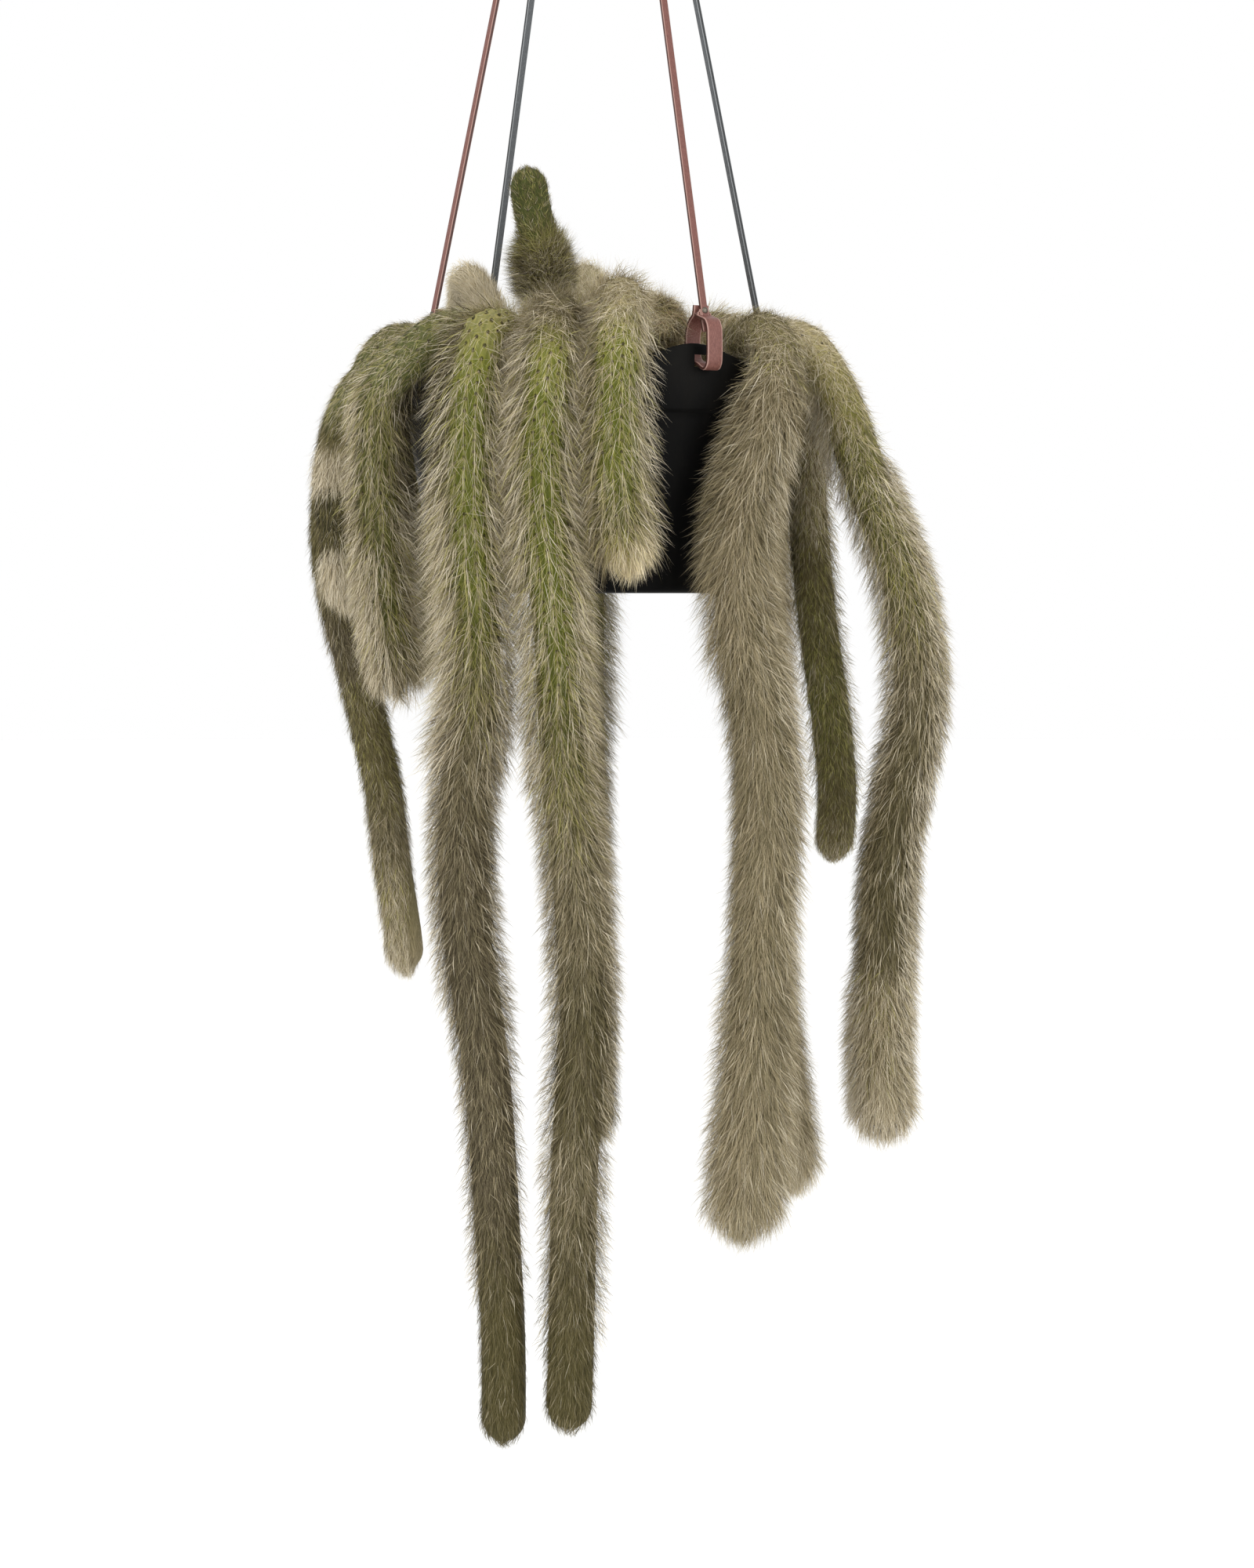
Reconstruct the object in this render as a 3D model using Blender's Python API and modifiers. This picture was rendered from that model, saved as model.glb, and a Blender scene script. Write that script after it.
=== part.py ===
"""Monkey tail cactus in a hanging pot.

Metres, +Z up, the front of the plant towards -Y. The origin is the point inside the hook's crook that bears the weight.
Every long soft-haired stem is one solid. Each stem grows from the soil, arches over the pot's rim and hangs.
"""

import math

import bmesh
import bpy
import numpy as np

# ---------------------------------------------------------------- driving dimensions (metres)
POT_HEIGHT = 0.1195  # floor of the pot to its plain rim, between the ears
POT_RIM_R = 0.104
POT_BAND_R = 0.1015  # wall just under the rim band
POT_BASE_R = 0.087
POT_BAND = 0.0275  # height of the rim band
POT_WALL = 0.0019
EAR_RISE = 0.0075  # each ear over the plain rim, at its middle
EAR_HALF_DEG, EAR_ASIDE_DEG = 20.0, 3.0  # half width, and how far the strap sits to one side of the middle
SLOT_WIDTH, SLOT_LOW, SLOT_HIGH = 0.0120, -0.0044, 0.0018  # the strap slot in each ear, heights from the plain rim
DRAIN_R, DRAIN_RING_R, DRAIN_COUNT = 0.0045, 0.058, 6
FLOOR_T = 0.0024

SOIL_DROP = 0.0165  # soil surface under the plain rim
GAP = 0.0003

STRAP_AZ = {"strap_front_right": 32.0, "strap_back_right": 121.0, "strap_back_left": 217.0, "strap_front_left": 305.0}
STRAP_LACE = (0.0040, 0.0022)  # width and thickness of the upper lace
STRAP_BAND = (0.0092, 0.0016)  # width and thickness of the loop through the ear
LOOP_INNER_R, LOOP_OUTER_R, LOOP_TOP = 0.0925, 0.1130, 0.0262
RIVET_R, RIVET_HEAD_R, RIVET_HEAD_T = 0.0010, 0.0017, 0.0007

HOOK_WIRE_R = 0.0020
HOOK_CROOK_R = 0.0140  # inner radius
CAP_BOTTOM = -0.0700  # heights from the origin
CAP_HEIGHT, CAP_R, CAP_INNER_R = 0.021, 0.0098, 0.0084

BASE_Z = -0.6200  # underside of the pot
RIM_Z = BASE_Z + POT_HEIGHT
SOIL_Z = RIM_Z - SOIL_DROP

# The stems' routes are drawn on a front elevation: across to the right and down, in units of 0.42 mm at the pot's axis. The
# elevation is seen from an eye 2 m in front, level with the pot's underside, so a point nearer the eye is drawn larger.
UNIT = 0.00042
EYE_X, EYE_DISTANCE = 0.01554, 2.0
EYE_TILT = math.atan(243 * UNIT / EYE_DISTANCE)


def seen(u, v, depth):
    """World point drawn at (u, v) on the elevation, depth millimetres behind the pot's axis (negative in front)."""
    far = EYE_DISTANCE / math.cos(EYE_TILT)
    a, b = (u - 800) * UNIT, (1000 - v) * UNIT
    along = b * math.sin(EYE_TILT) + far * math.cos(EYE_TILT)
    t = (EYE_DISTANCE + depth / 1000) / along
    return np.array([EYE_X + a * t, depth / 1000, BASE_Z + t * (b * math.cos(EYE_TILT) - far * math.sin(EYE_TILT))])


def from_rim(x, y, z):
    """World point in millimetres from the pot's axis at the height of its plain rim."""
    return np.array([x / 1000, y / 1000, RIM_Z + z / 1000])


S, R = seen, from_rim
# name: (base x, base y in mm, radius at the base, radius along the stem in mm, route)
STEMS = {
    "stem_left_tail": (-40, -55, 11.0, 12.8, [
        S(634, 396, -84), S(615, 438, -109), S(603, 500, -114), S(600, 600, -114), S(602, 700, -112), S(609, 800, -110),
        S(607, 900, -107), S(593, 1000, -104), S(589, 1100, -102), S(597, 1200, -100), S(612, 1300, -98), S(624, 1400, -96),
        S(631, 1500, -95), S(637, 1600, -94), S(642, 1700, -94), S(643, 1780, -94), S(643, 1838, -94)]),
    "stem_center_tail": (-17, -66, 11.0, 12.8, [
        S(716, 390, -90), S(704, 440, -117), S(697, 500, -123), S(691, 600, -122), S(698, 700, -120), S(709, 800, -118),
        S(714, 900, -115), S(721, 1000, -112), S(733, 1100, -110), S(740, 1200, -108), S(744, 1300, -106), S(738, 1400, -105),
        S(733, 1500, -104), S(731, 1600, -103), S(729, 1700, -103), S(727, 1780, -103), S(726, 1822, -103)]),
    "stem_front_short": (12, -66, 11.0, 13.0, [
        S(797, 364, -84), S(793, 388, -108), S(788, 438, -120), S(785, 500, -125), S(786, 580, -124), S(791, 650, -122), S(798, 718, -118)]),
    "stem_front_bud": (30, -42, 10.0, 11.5, [S(828, 400, -58), S(846, 396, -72), S(857, 424, -82)]),
    "stem_left_short": (-58, -40, 10.5, 12.8, [
        R(-63, -60, 13), R(-73, -75, 14), S(541, 441, -87), S(513, 455, -87), S(492, 480, -82), S(483, 518, -75),
        S(482, 560, -70), S(481, 600, -66),
        S(485, 680, -62), S(494, 780, -60), S(505, 850, -58), S(509, 874, -58)]),
    "stem_left_arch": (-68, -16, 8.0, 12.0, [
        R(-84, -15, 11), R(-99, -14, 15), R(-113, -19, 7), S(479, 476, -27), S(457, 503, -30), S(441, 537, -30),
        S(432, 580, -30), S(431, 640, -30),
        S(438, 710, -30), S(445, 764, -30)]),
    "stem_left_drop": (-69, 12, 8.0, 10.8, [
        R(-85, 17, 10), R(-100, 21, 12), R(-113, 23, 5), S(472, 493, 25), S(449, 528, 23), S(434, 570, 24),
        S(425, 620, 25), S(421, 660, 26), S(424, 720, 28), S(437, 790, 30),
        S(456, 860, 30), S(476, 945, 30), S(488, 1000, 30), S(501, 1100, 30), S(516, 1195, 30), S(520, 1235, 30)]),
    "stem_upright": (-22, 4, 11.0, 10.0, [S(698, 400, 4), S(696, 350, 2), S(687, 300, 0), S(678, 262, 0), S(672, 214, 0)]),
    "stem_back_arch": (-48, 51, 8.5, 9.5, [
        R(-54, 56, 14), R(-61, 60, 36), S(597, 356, 66), R(-75, 90, 40), R(-80, 104, 12), R(-80, 108, -20), R(-78, 109, -60),
        R(-75, 108, -110), S(601, 800, 108), S(600, 1000, 110), S(600, 1150, 110), S(606, 1268, 110)]),
    "stem_right_tail": (56, -38, 11.0, 13.4, [
        S(962, 424, -47), S(985, 430, -62), S(992, 470, -78), S(981, 530, -86), S(962, 590, -88), S(948, 650, -92),
        S(943, 720, -94), S(948, 790, -95), S(961, 870, -96), S(973, 950, -96), S(977, 1050, -96), S(971, 1150, -96),
        S(967, 1250, -96), S(963, 1350, -96), S(956, 1450, -96), S(950, 1520, -96), S(948, 1560, -96)]),
    "stem_right_outer": (67, -10, 11.0, 13.0, [
        S(985, 420, -18), S(1012, 428, -22), S(1042, 456, -26), S(1070, 508, -30), S(1098, 590, -34), S(1121, 650, -35),
        S(1146, 715, -36), S(1162, 785, -36), S(1170, 860, -36), S(1166, 930, -36), S(1151, 1000, -36), S(1137, 1070, -36),
        S(1129, 1130, -36), S(1127, 1200, -36), S(1124, 1280, -36), S(1122, 1350, -36), S(1125, 1400, -36),
        S(1127, 1436, -36)]),
    "stem_right_drop": (66, 17, 10.5, 10.6, [
        S(985, 432, 20), S(1014, 444, 24), S(1036, 486, 24), S(1034, 540, 24), S(1029, 600, 22), S(1031, 660, 20),
        S(1036, 720, 18), S(1044, 800, 17), S(1055, 880, 17), S(1064, 950, 17), S(1068, 1010, 17), S(1066, 1060, 17),
        S(1062, 1094, 17)]),
    "stem_right_bud": (42, 10, 8.0, 8.0, [R(50, 8, 10), R(70, 4, 17), R(91, 2.5, 16.5), R(107, 2.5, 15)]),
    "stem_back_center": (-2, 70, 10.0, 12.6, [
        R(-6, 80, 42), R(-9, 95, 53), R(-9, 114, 34), R(-8, 122, -6), R(-8, 124, -80), S(745, 800, 122), S(746, 1000, 122),
        S(750, 1200, 122), S(755, 1350, 122), S(757, 1446, 122)]),
    "stem_back_right": (48, 51, 10.5, 12.6, [
        R(60, 65, 24), R(79, 83, 16), R(89, 95, -14), R(93, 100, -70), S(975, 800, 98), S(975, 1000, 100),
        S(978, 1200, 100), S(988, 1300, 100), S(1002, 1400, 100), S(1012, 1470, 100), S(1014, 1508, 100)]),
    "stem_back_left": (-63, 31, 9.5, 12.2, [
        R(-75, 41, 12), R(-87, 50, 15), R(-99, 57, 8), R(-105, 61, -8), R(-106, 63, -40), R(-104, 64, -100),
        R(-101, 64, -166)]),
    "stem_back_short_left": (-24, 66, 10.0, 12.4, [
        R(-31, 82, 22), R(-38, 104, 15), R(-42, 117, -14), R(-43, 119, -60), R(-42, 118, -100)]),
    "stem_back_short_right": (24, 66, 10.0, 12.4, [
        R(27, 80, 30), R(33, 102, 28), R(38, 117, -8), R(40, 119, -60), R(40, 118, -104)]),
}
STEP = 0.0155  # distance between a stem's stations


def smooth_route(points, spacing):
    """Even stations along a centripetal Catmull-Rom curve through the points."""
    p = np.vstack([2 * points[0] - points[1], points, 2 * points[-1] - points[-2]])
    out = []
    for k in range(1, len(p) - 2):
        a, b, c, d = p[k - 1 : k + 3]
        t0 = 0.0
        t1 = t0 + max(np.linalg.norm(b - a), 1e-9) ** 0.5
        t2 = t1 + max(np.linalg.norm(c - b), 1e-9) ** 0.5
        t3 = t2 + max(np.linalg.norm(d - c), 1e-9) ** 0.5
        for t in np.linspace(t1, t2, 24, endpoint=False):
            ab = (t1 - t) / (t1 - t0) * a + (t - t0) / (t1 - t0) * b
            bc = (t2 - t) / (t2 - t1) * b + (t - t1) / (t2 - t1) * c
            cd = (t3 - t) / (t3 - t2) * c + (t - t2) / (t3 - t2) * d
            abc = (t2 - t) / (t2 - t0) * ab + (t - t0) / (t2 - t0) * bc
            bcd = (t3 - t) / (t3 - t1) * bc + (t - t1) / (t3 - t1) * cd
            out.append((t2 - t) / (t2 - t1) * abc + (t - t1) / (t2 - t1) * bcd)
    out.append(p[-2])
    out = np.array(out)
    run = np.concatenate([[0], np.cumsum(np.linalg.norm(np.diff(out, axis=0), axis=1))])
    count = max(4, int(round(run[-1] / spacing)))
    at = np.linspace(0, run[-1], count + 1)
    return np.stack([np.interp(at, run, out[:, k]) for k in range(3)], 1)


def ear(azimuth_deg):
    """Height of the rim over its plain height at this azimuth (0 to the front, 90 to the right)."""
    rise = 0.0
    for az in STRAP_AZ.values():
        off = abs((azimuth_deg - az + EAR_ASIDE_DEG + 180) % 360 - 180)
        if off < EAR_HALF_DEG:
            rise = max(rise, EAR_RISE * 0.5 * (1 + math.cos(math.pi * off / EAR_HALF_DEG)))
    return rise


def outward(az):
    a = math.radians(az)
    return np.array([math.sin(a), -math.cos(a), 0.0]), np.array([math.cos(a), math.sin(a), 0.0])


def loop_line():
    """The strap's centre line in its own plane, (out, up from the plain rim, share of the band's full width)."""
    inner, outer, mid = LOOP_INNER_R, LOOP_OUTER_R, (LOOP_INNER_R + LOOP_OUTER_R) / 2
    lace_foot = np.array([mid - 0.0002, LOOP_TOP])
    cap_end = np.array([0.0037, CAP_BOTTOM + 0.0125 - RIM_Z])
    line = [(*(cap_end + (lace_foot - cap_end) * t), 0.0) for t in (0.0, 0.03, 0.35, 0.68, 0.92)]
    line += [(lace_foot[0], lace_foot[1], 0.0), (mid - 0.0001, LOOP_TOP - 0.0018, 0.35), (mid + 0.0002, LOOP_TOP - 0.0040, 0.85)]
    line += [(mid + 0.0028, LOOP_TOP - 0.0058, 1.0), (outer - 0.0024, LOOP_TOP - 0.0076, 1.0), (outer - 0.0003, LOOP_TOP - 0.0116, 1.0)]
    line += [(outer, LOOP_TOP - 0.0157, 1.0), (outer, 0.0005, 1.0), (outer - 0.0006, -0.0032, 1.0), (outer - 0.0030, -0.0056, 1.0)]
    line += [(outer - 0.0060, -0.0049, 1.0), (mid + 0.0012, -0.0031, 1.0), (mid - 0.0016, -0.0023, 1.0), (inner + 0.0045, -0.0019, 1.0)]
    line += [(inner + 0.0015, 0.0, 1.0), (inner + 0.0002, 0.0034, 1.0), (inner, 0.0080, 1.0), (inner + 0.0002, LOOP_TOP - 0.0142, 1.0)]
    line += [(inner + 0.0016, LOOP_TOP - 0.0097, 1.0), (mid - 0.0060, LOOP_TOP - 0.0062, 1.0), (mid - 0.0033, LOOP_TOP - 0.0042, 1.0)]
    line += [(mid - 0.0024, LOOP_TOP + 0.0008, 1.0)]
    return line


def strap_obstacles():
    points, radii = [], []
    for az in STRAP_AZ.values():
        out, _ = outward(az)
        line = np.array(loop_line())
        dense = smooth_route(np.stack([line[:, 0], line[:, 1], line[:, 2]], 1)[3:], 0.004)
        for r, z, w in dense:
            points.append(out * r + np.array([0, 0, RIM_Z + z]))
            radii.append(0.0032 + 0.0024 * w)
    return np.array(points), np.array(radii)


def stem_radii(count, base, radius, length):
    """Radius at each station: a little narrower at the soil, full along the stem, and a rounded tip."""
    at = np.linspace(0, length, count)
    grown = base + (radius - base) * np.clip(at / 0.06, 0, 1) ** 0.8
    to_tip = length - at
    tip = np.where(to_tip < radius, np.sqrt(np.clip(1 - (1 - to_tip / radius) ** 2, 0.04, 1)), 1.0)
    return grown * tip


def stem_routes():
    """Every stem's stations and radii, eased apart so that no two stems touch and none touches the pot or a strap."""
    routes = {}
    for name, (bx, by, base_r, radius, route) in STEMS.items():
        foot = np.array([bx / 1000, by / 1000, SOIL_Z + GAP])
        pts = np.vstack([foot, foot + [0, 0, 0.007], np.array(route)])
        line = smooth_route(pts, 0.008)
        line[1, :2] = foot[:2]
        routes[name] = [line, base_r / 1000, radius / 1000]
    names = list(routes)
    start = np.cumsum([0] + [len(routes[n][0]) for n in names])
    owner = np.concatenate([np.full(len(routes[n][0]), k) for k, n in enumerate(names)])
    pts = np.vstack([routes[n][0] for n in names])
    rad = np.concatenate([
        np.minimum(routes[n][2], routes[n][1] + (routes[n][2] - routes[n][1]) * np.arange(len(routes[n][0])) * 0.008 / 0.06)
        for n in names
    ])
    obstacles, obstacle_r = strap_obstacles()
    held = np.concatenate([np.arange(len(routes[n][0])) < 2 for n in names])
    busy = np.flatnonzero(pts[:, 2] > RIM_Z - 0.055)  # the stems crowd only over the rim
    same = owner[busy][:, None] == owner[busy][None, :]
    reach = rad[busy][:, None] + rad[busy][None, :] + 0.0016
    keep_off = rad[busy][:, None] + obstacle_r[None, :] + 0.0012
    row = np.arange(len(busy))
    for _ in range(220):
        move = np.zeros_like(pts)
        crowd = pts[busy]
        dist = np.sqrt(((crowd[:, None, :] - crowd[None, :, :]) ** 2).sum(2)) + 1e-9
        short = np.where(same, 0, np.clip(reach - dist, 0, None))
        worst = short.argmax(1)
        move[busy] += (crowd - crowd[worst]) / dist[row, worst][:, None] * short[row, worst][:, None] * 0.5
        dist = np.sqrt(((crowd[:, None, :] - obstacles[None, :, :]) ** 2).sum(2)) + 1e-9
        short = np.clip(keep_off - dist, 0, None)
        worst = short.argmax(1)
        move[busy] += (crowd - obstacles[worst]) / dist[row, worst][:, None] * short[row, worst][:, None] * 0.7
        r = np.hypot(pts[:, 0], pts[:, 1])
        top = RIM_Z + np.array([ear(a) for a in np.degrees(np.arctan2(pts[:, 0], -pts[:, 1]))])
        near = np.full(len(pts), 1.0)
        away = np.zeros((len(pts), 2))
        here = np.stack([r, pts[:, 2]], 1)
        wall = [(POT_RIM_R - 0.0012, top - 0.0012), (POT_BAND_R, RIM_Z - POT_BAND), (POT_BASE_R - 0.001, BASE_Z + 0.001)]
        for (r0, z0), (r1, z1) in zip(wall, wall[1:]):
            a = np.stack([np.full(len(pts), r0), np.broadcast_to(z0, len(pts))], 1)
            ab = np.array([[r1, z1]]) - a
            t = np.clip(((here - a) * ab).sum(1) / (ab**2).sum(1), 0, 1)
            off = here - a - ab * t[:, None]
            d = np.linalg.norm(off, axis=1) + 1e-9
            closer = d < near
            near[closer], away[closer] = d[closer], (off / d[:, None])[closer]
        need = np.clip(rad + 0.0026 - near, 0, None) * 0.8
        need[(r < 0.075) | (pts[:, 2] < BASE_Z - 0.02)] = 0
        move += np.stack([pts[:, 0] / r * away[:, 0], pts[:, 1] / r * away[:, 0], away[:, 1]], 1) * need[:, None]
        move[held] = 0
        for a, b in zip(start, start[1:]):  # neighbours share a push, and kinks even out
            m = move[a:b]
            padded = np.vstack([m[:1] * 0, m[:1] * 0, m, m[-1:], m[-1:]])
            m = (padded[:-4] + 2 * padded[1:-3] + 3 * padded[2:-2] + 2 * padded[3:-1] + padded[4:]) / 9 * 1.6
            m[:2] = 0
            pts[a:b] += m
            line = pts[a:b]
            line[2:-1] += 0.06 * (line[1:-2] + line[3:] - 2 * line[2:-1]) * (np.linalg.norm(m[2:-1], axis=1) > 1e-7)[:, None]
    for k, n in enumerate(names):
        routes[n][0] = pts[start[k] : start[k + 1]]
    return routes


# ---------------------------------------------------------------- scene and helpers
for old in list(bpy.data.objects):
    bpy.data.objects.remove(old, do_unlink=True)

parts = bpy.data.collections.new("monkey_tail_cactus")
cutters = bpy.data.collections.new("cutters")
for group in (parts, cutters):
    bpy.context.scene.collection.children.link(group)


def material(name, colour, roughness, metallic=0.0):
    mat = bpy.data.materials.new(name)
    mat.use_nodes = True
    shader = mat.node_tree.nodes["Principled BSDF"]
    shader.inputs["Base Color"].default_value = (*colour, 1)
    shader.inputs["Roughness"].default_value = roughness
    shader.inputs["Metallic"].default_value = metallic
    mat.diffuse_color = (*colour, 1)
    return mat


BLACK_PLASTIC = material("black_plastic", (0.012, 0.012, 0.013), 0.42)
LEATHER = material("red_brown_strap", (0.165, 0.062, 0.042), 0.55)
GREY_STRAP = material("grey_strap", (0.095, 0.105, 0.11), 0.5)
METAL = material("dark_metal", (0.20, 0.19, 0.18), 0.35, 1.0)
SOIL = material("potting_soil", (0.045, 0.028, 0.018), 0.95)
STEM_GREEN = material("stem_green", (0.20, 0.23, 0.07), 0.8)
STEM_OLIVE = material("stem_olive", (0.11, 0.12, 0.05), 0.8)
STEM_TAN = material("stem_tan", (0.30, 0.26, 0.18), 0.85)


def as_mesh(obj, name, mat, smooth_deg=35):
    """Turns an evaluated object into a welded mesh object of the same name and removes the original."""
    depsgraph = bpy.context.evaluated_depsgraph_get()
    mesh = bpy.data.meshes.new_from_object(obj.evaluated_get(depsgraph))
    bm = bmesh.new()
    bm.from_mesh(mesh)
    bmesh.ops.remove_doubles(bm, verts=bm.verts, dist=1e-6)
    bmesh.ops.recalc_face_normals(bm, faces=bm.faces)
    bm.to_mesh(mesh)
    bm.free()
    matrix = obj.matrix_world.copy()
    bpy.data.objects.remove(obj, do_unlink=True)
    new = bpy.data.objects.new(name, mesh)
    new.matrix_world = matrix
    mesh.materials.clear()
    mesh.materials.append(mat)
    mesh.shade_smooth()
    mesh.set_sharp_from_angle(angle=math.radians(smooth_deg))
    parts.objects.link(new)
    return new


def turned(name, profile, steps, mat):
    """A solid turned about Z from a profile that runs down its outer side."""
    mesh = bpy.data.meshes.new(name + "_profile")
    mesh.from_pydata([(r, 0, z) for r, z in profile], [(k, k + 1) for k in range(len(profile) - 1)], [])
    obj = bpy.data.objects.new(name + "_profile", mesh)
    parts.objects.link(obj)
    screw = obj.modifiers.new("turn", "SCREW")
    screw.axis, screw.angle = "Z", 2 * math.pi
    screw.steps = screw.render_steps = steps
    screw.use_merge_vertices, screw.merge_threshold = True, 1e-5
    return as_mesh(obj, name, mat)


def cut(obj, tool):
    tool.hide_render, tool.display_type = True, "WIRE"
    for group in list(tool.users_collection):
        group.objects.unlink(tool)
    cutters.objects.link(tool)
    mod = obj.modifiers.new("cut_" + tool.name, "BOOLEAN")
    mod.operation, mod.object, mod.solver = "DIFFERENCE", tool, "EXACT"


def rod(name, radius, depth, place, sides=24):
    bpy.ops.mesh.primitive_cylinder_add(vertices=sides, radius=radius, depth=depth, location=place)
    obj = bpy.context.object
    obj.name = name
    return obj


# ---------------------------------------------------------------- pot
lip = 0.0009
profile = [
    (0.0, BASE_Z + FLOOR_T),
    (POT_BASE_R - POT_WALL - 0.0025, BASE_Z + FLOOR_T),
    (POT_BASE_R - POT_WALL, BASE_Z + FLOOR_T + 0.003),
    (POT_BAND_R - POT_WALL, RIM_Z - POT_BAND - 0.001),
    (POT_RIM_R - POT_WALL - 0.0006, RIM_Z - POT_BAND + 0.0015),
    (POT_RIM_R - POT_WALL, RIM_Z - 0.010),
    (POT_RIM_R - POT_WALL, RIM_Z - lip),
    (POT_RIM_R - POT_WALL / 2, RIM_Z),
    (POT_RIM_R, RIM_Z - lip),
    (POT_RIM_R, RIM_Z - 0.010),
    (POT_RIM_R - 0.0006, RIM_Z - POT_BAND + 0.0012),
    (POT_BAND_R, RIM_Z - POT_BAND),
    (POT_BASE_R + 0.0006, BASE_Z + 0.004),
    (POT_BASE_R - 0.0012, BASE_Z + 0.0008),
    (POT_BASE_R - 0.0035, BASE_Z),
    (0.0, BASE_Z),
]
POT_STEPS = 72
pot = turned("pot", profile, POT_STEPS, BLACK_PLASTIC)
for vert in pot.data.vertices:  # the four ears
    low = RIM_Z - 0.0101
    if vert.co.z > low - 1e-5:
        az = math.degrees(math.atan2(vert.co.x, -vert.co.y))
        vert.co.z += ear(az) * min(1.0, (vert.co.z - low) / (RIM_Z - lip - low))
for name, az in STRAP_AZ.items():
    out, side = outward(az)
    bpy.ops.mesh.primitive_cube_add(size=1, location=out * (POT_RIM_R - POT_WALL / 2) + np.array([0, 0, RIM_Z + (SLOT_LOW + SLOT_HIGH) / 2]))
    slot = bpy.context.object
    slot.name = "slot_" + name
    slot.rotation_euler = (0, 0, math.radians(az))
    slot.scale = (SLOT_WIDTH, 0.012, SLOT_HIGH - SLOT_LOW)
    cut(pot, slot)
for k in range(DRAIN_COUNT):
    a = 2 * math.pi * (k + 0.5) / DRAIN_COUNT
    cut(pot, rod(f"drain_{k}", DRAIN_R, 0.012, (DRAIN_RING_R * math.cos(a), DRAIN_RING_R * math.sin(a), BASE_Z)))

# ---------------------------------------------------------------- soil
g = GAP
turned("soil", [
    (0.0, SOIL_Z),
    (0.090, SOIL_Z),
    (POT_RIM_R - POT_WALL - 0.0012 - g, SOIL_Z),
    (POT_RIM_R - POT_WALL - 0.0016 - g, SOIL_Z - 0.0040),
    (POT_BAND_R - POT_WALL - 0.0010 - g, RIM_Z - POT_BAND - 0.0012),
    (POT_BASE_R - POT_WALL - g, BASE_Z + FLOOR_T + 0.0034),
    (POT_BASE_R - POT_WALL - 0.0028 - g, BASE_Z + FLOOR_T + g),
    (0.0, BASE_Z + FLOOR_T + g),
], POT_STEPS, SOIL)

# ---------------------------------------------------------------- straps and rivets
RIVET_AT = LOOP_TOP - 0.0020


def strap(name, az, mat):
    """One strap: the lace from the cap widens into a band, goes through the ear's slot and comes back to the lace."""
    out, side = outward(az)
    line = np.array(loop_line())
    up = np.array([0.0, 0.0, 1.0])
    centre = [out * r + up * (RIM_Z + z) for r, z, _ in line]
    flat = np.stack([line[:, 0], line[:, 1]], 1)
    bm = bmesh.new()
    rings = []
    for k, (r, z, w) in enumerate(line):
        ahead = flat[min(k + 1, len(flat) - 1)] - flat[k]
        behind = flat[k] - flat[max(k - 1, 0)]
        t = ahead / max(np.linalg.norm(ahead), 1e-9) * (k < len(flat) - 1) + behind / max(np.linalg.norm(behind), 1e-9) * (k > 0)
        t = t / np.linalg.norm(t)
        face = out * t[1] - up * t[0]  # across the thickness
        wide = (STRAP_LACE[0] + (STRAP_BAND[0] - STRAP_LACE[0]) * w) / 2
        thick = (STRAP_LACE[1] + (STRAP_BAND[1] - STRAP_LACE[1]) * w) / 2
        edge = min(thick * 0.55, wide * 0.3)
        ring = []
        for sx, sy in ((1, 0), (0, 1), (-1, 0), (0, -1)):
            if sx:
                ring.append((sx * wide, -sx * (thick - edge)))
                ring.append((sx * wide, sx * (thick - edge)))
            else:
                ring.append((sy * (wide - edge), sy * thick))
                ring.append((-sy * (wide - edge), sy * thick))
        rings.append([bm.verts.new(centre[k] + side * a + face * b) for a, b in ring])
    for a, b in zip(rings, rings[1:]):
        for k in range(8):
            bm.faces.new((a[k], a[(k + 1) % 8], b[(k + 1) % 8], b[k]))
    bm.faces.new(rings[0][::-1])
    bm.faces.new(rings[-1])
    bmesh.ops.recalc_face_normals(bm, faces=bm.faces)
    mesh = bpy.data.meshes.new(name)
    bm.to_mesh(mesh)
    bm.free()
    obj = bpy.data.objects.new(name, mesh)
    mesh.materials.append(mat)
    mesh.shade_smooth()
    mesh.set_sharp_from_angle(angle=math.radians(40))
    parts.objects.link(obj)

    # the rivet through the lace and the band's end, square to the band
    lace_r = np.interp(RIVET_AT, line[5:8, 1][::-1], line[5:8, 0][::-1])
    tail_r = np.interp(RIVET_AT, line[-2:, 1], line[-2:, 0])
    middle = out * ((lace_r + tail_r) / 2) + up * (RIM_Z + RIVET_AT)
    reach = abs(lace_r - tail_r) + STRAP_BAND[1]
    hole = rod("hole_" + name, RIVET_R + 0.0003, reach + 0.012, middle, 12)
    hole.rotation_euler = (math.radians(90), 0, math.radians(az))
    cut(obj, hole)
    half = reach / 2 + 0.0007
    pin = turned("rivet_" + name[6:], [
        (0.0, half + RIVET_HEAD_T),
        (RIVET_HEAD_R * 0.7, half + RIVET_HEAD_T * 0.8),
        (RIVET_HEAD_R, half),
        (RIVET_R, half),
        (RIVET_R, -half),
        (RIVET_HEAD_R, -half),
        (RIVET_HEAD_R * 0.7, -half - RIVET_HEAD_T * 0.8),
        (0.0, -half - RIVET_HEAD_T),
    ], 12, METAL)
    pin.location = middle
    pin.rotation_euler = (math.radians(90), 0, math.radians(az))
    return obj


for strap_name, azimuth in STRAP_AZ.items():
    strap(strap_name, azimuth, LEATHER if "front" in strap_name else GREY_STRAP)

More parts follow.
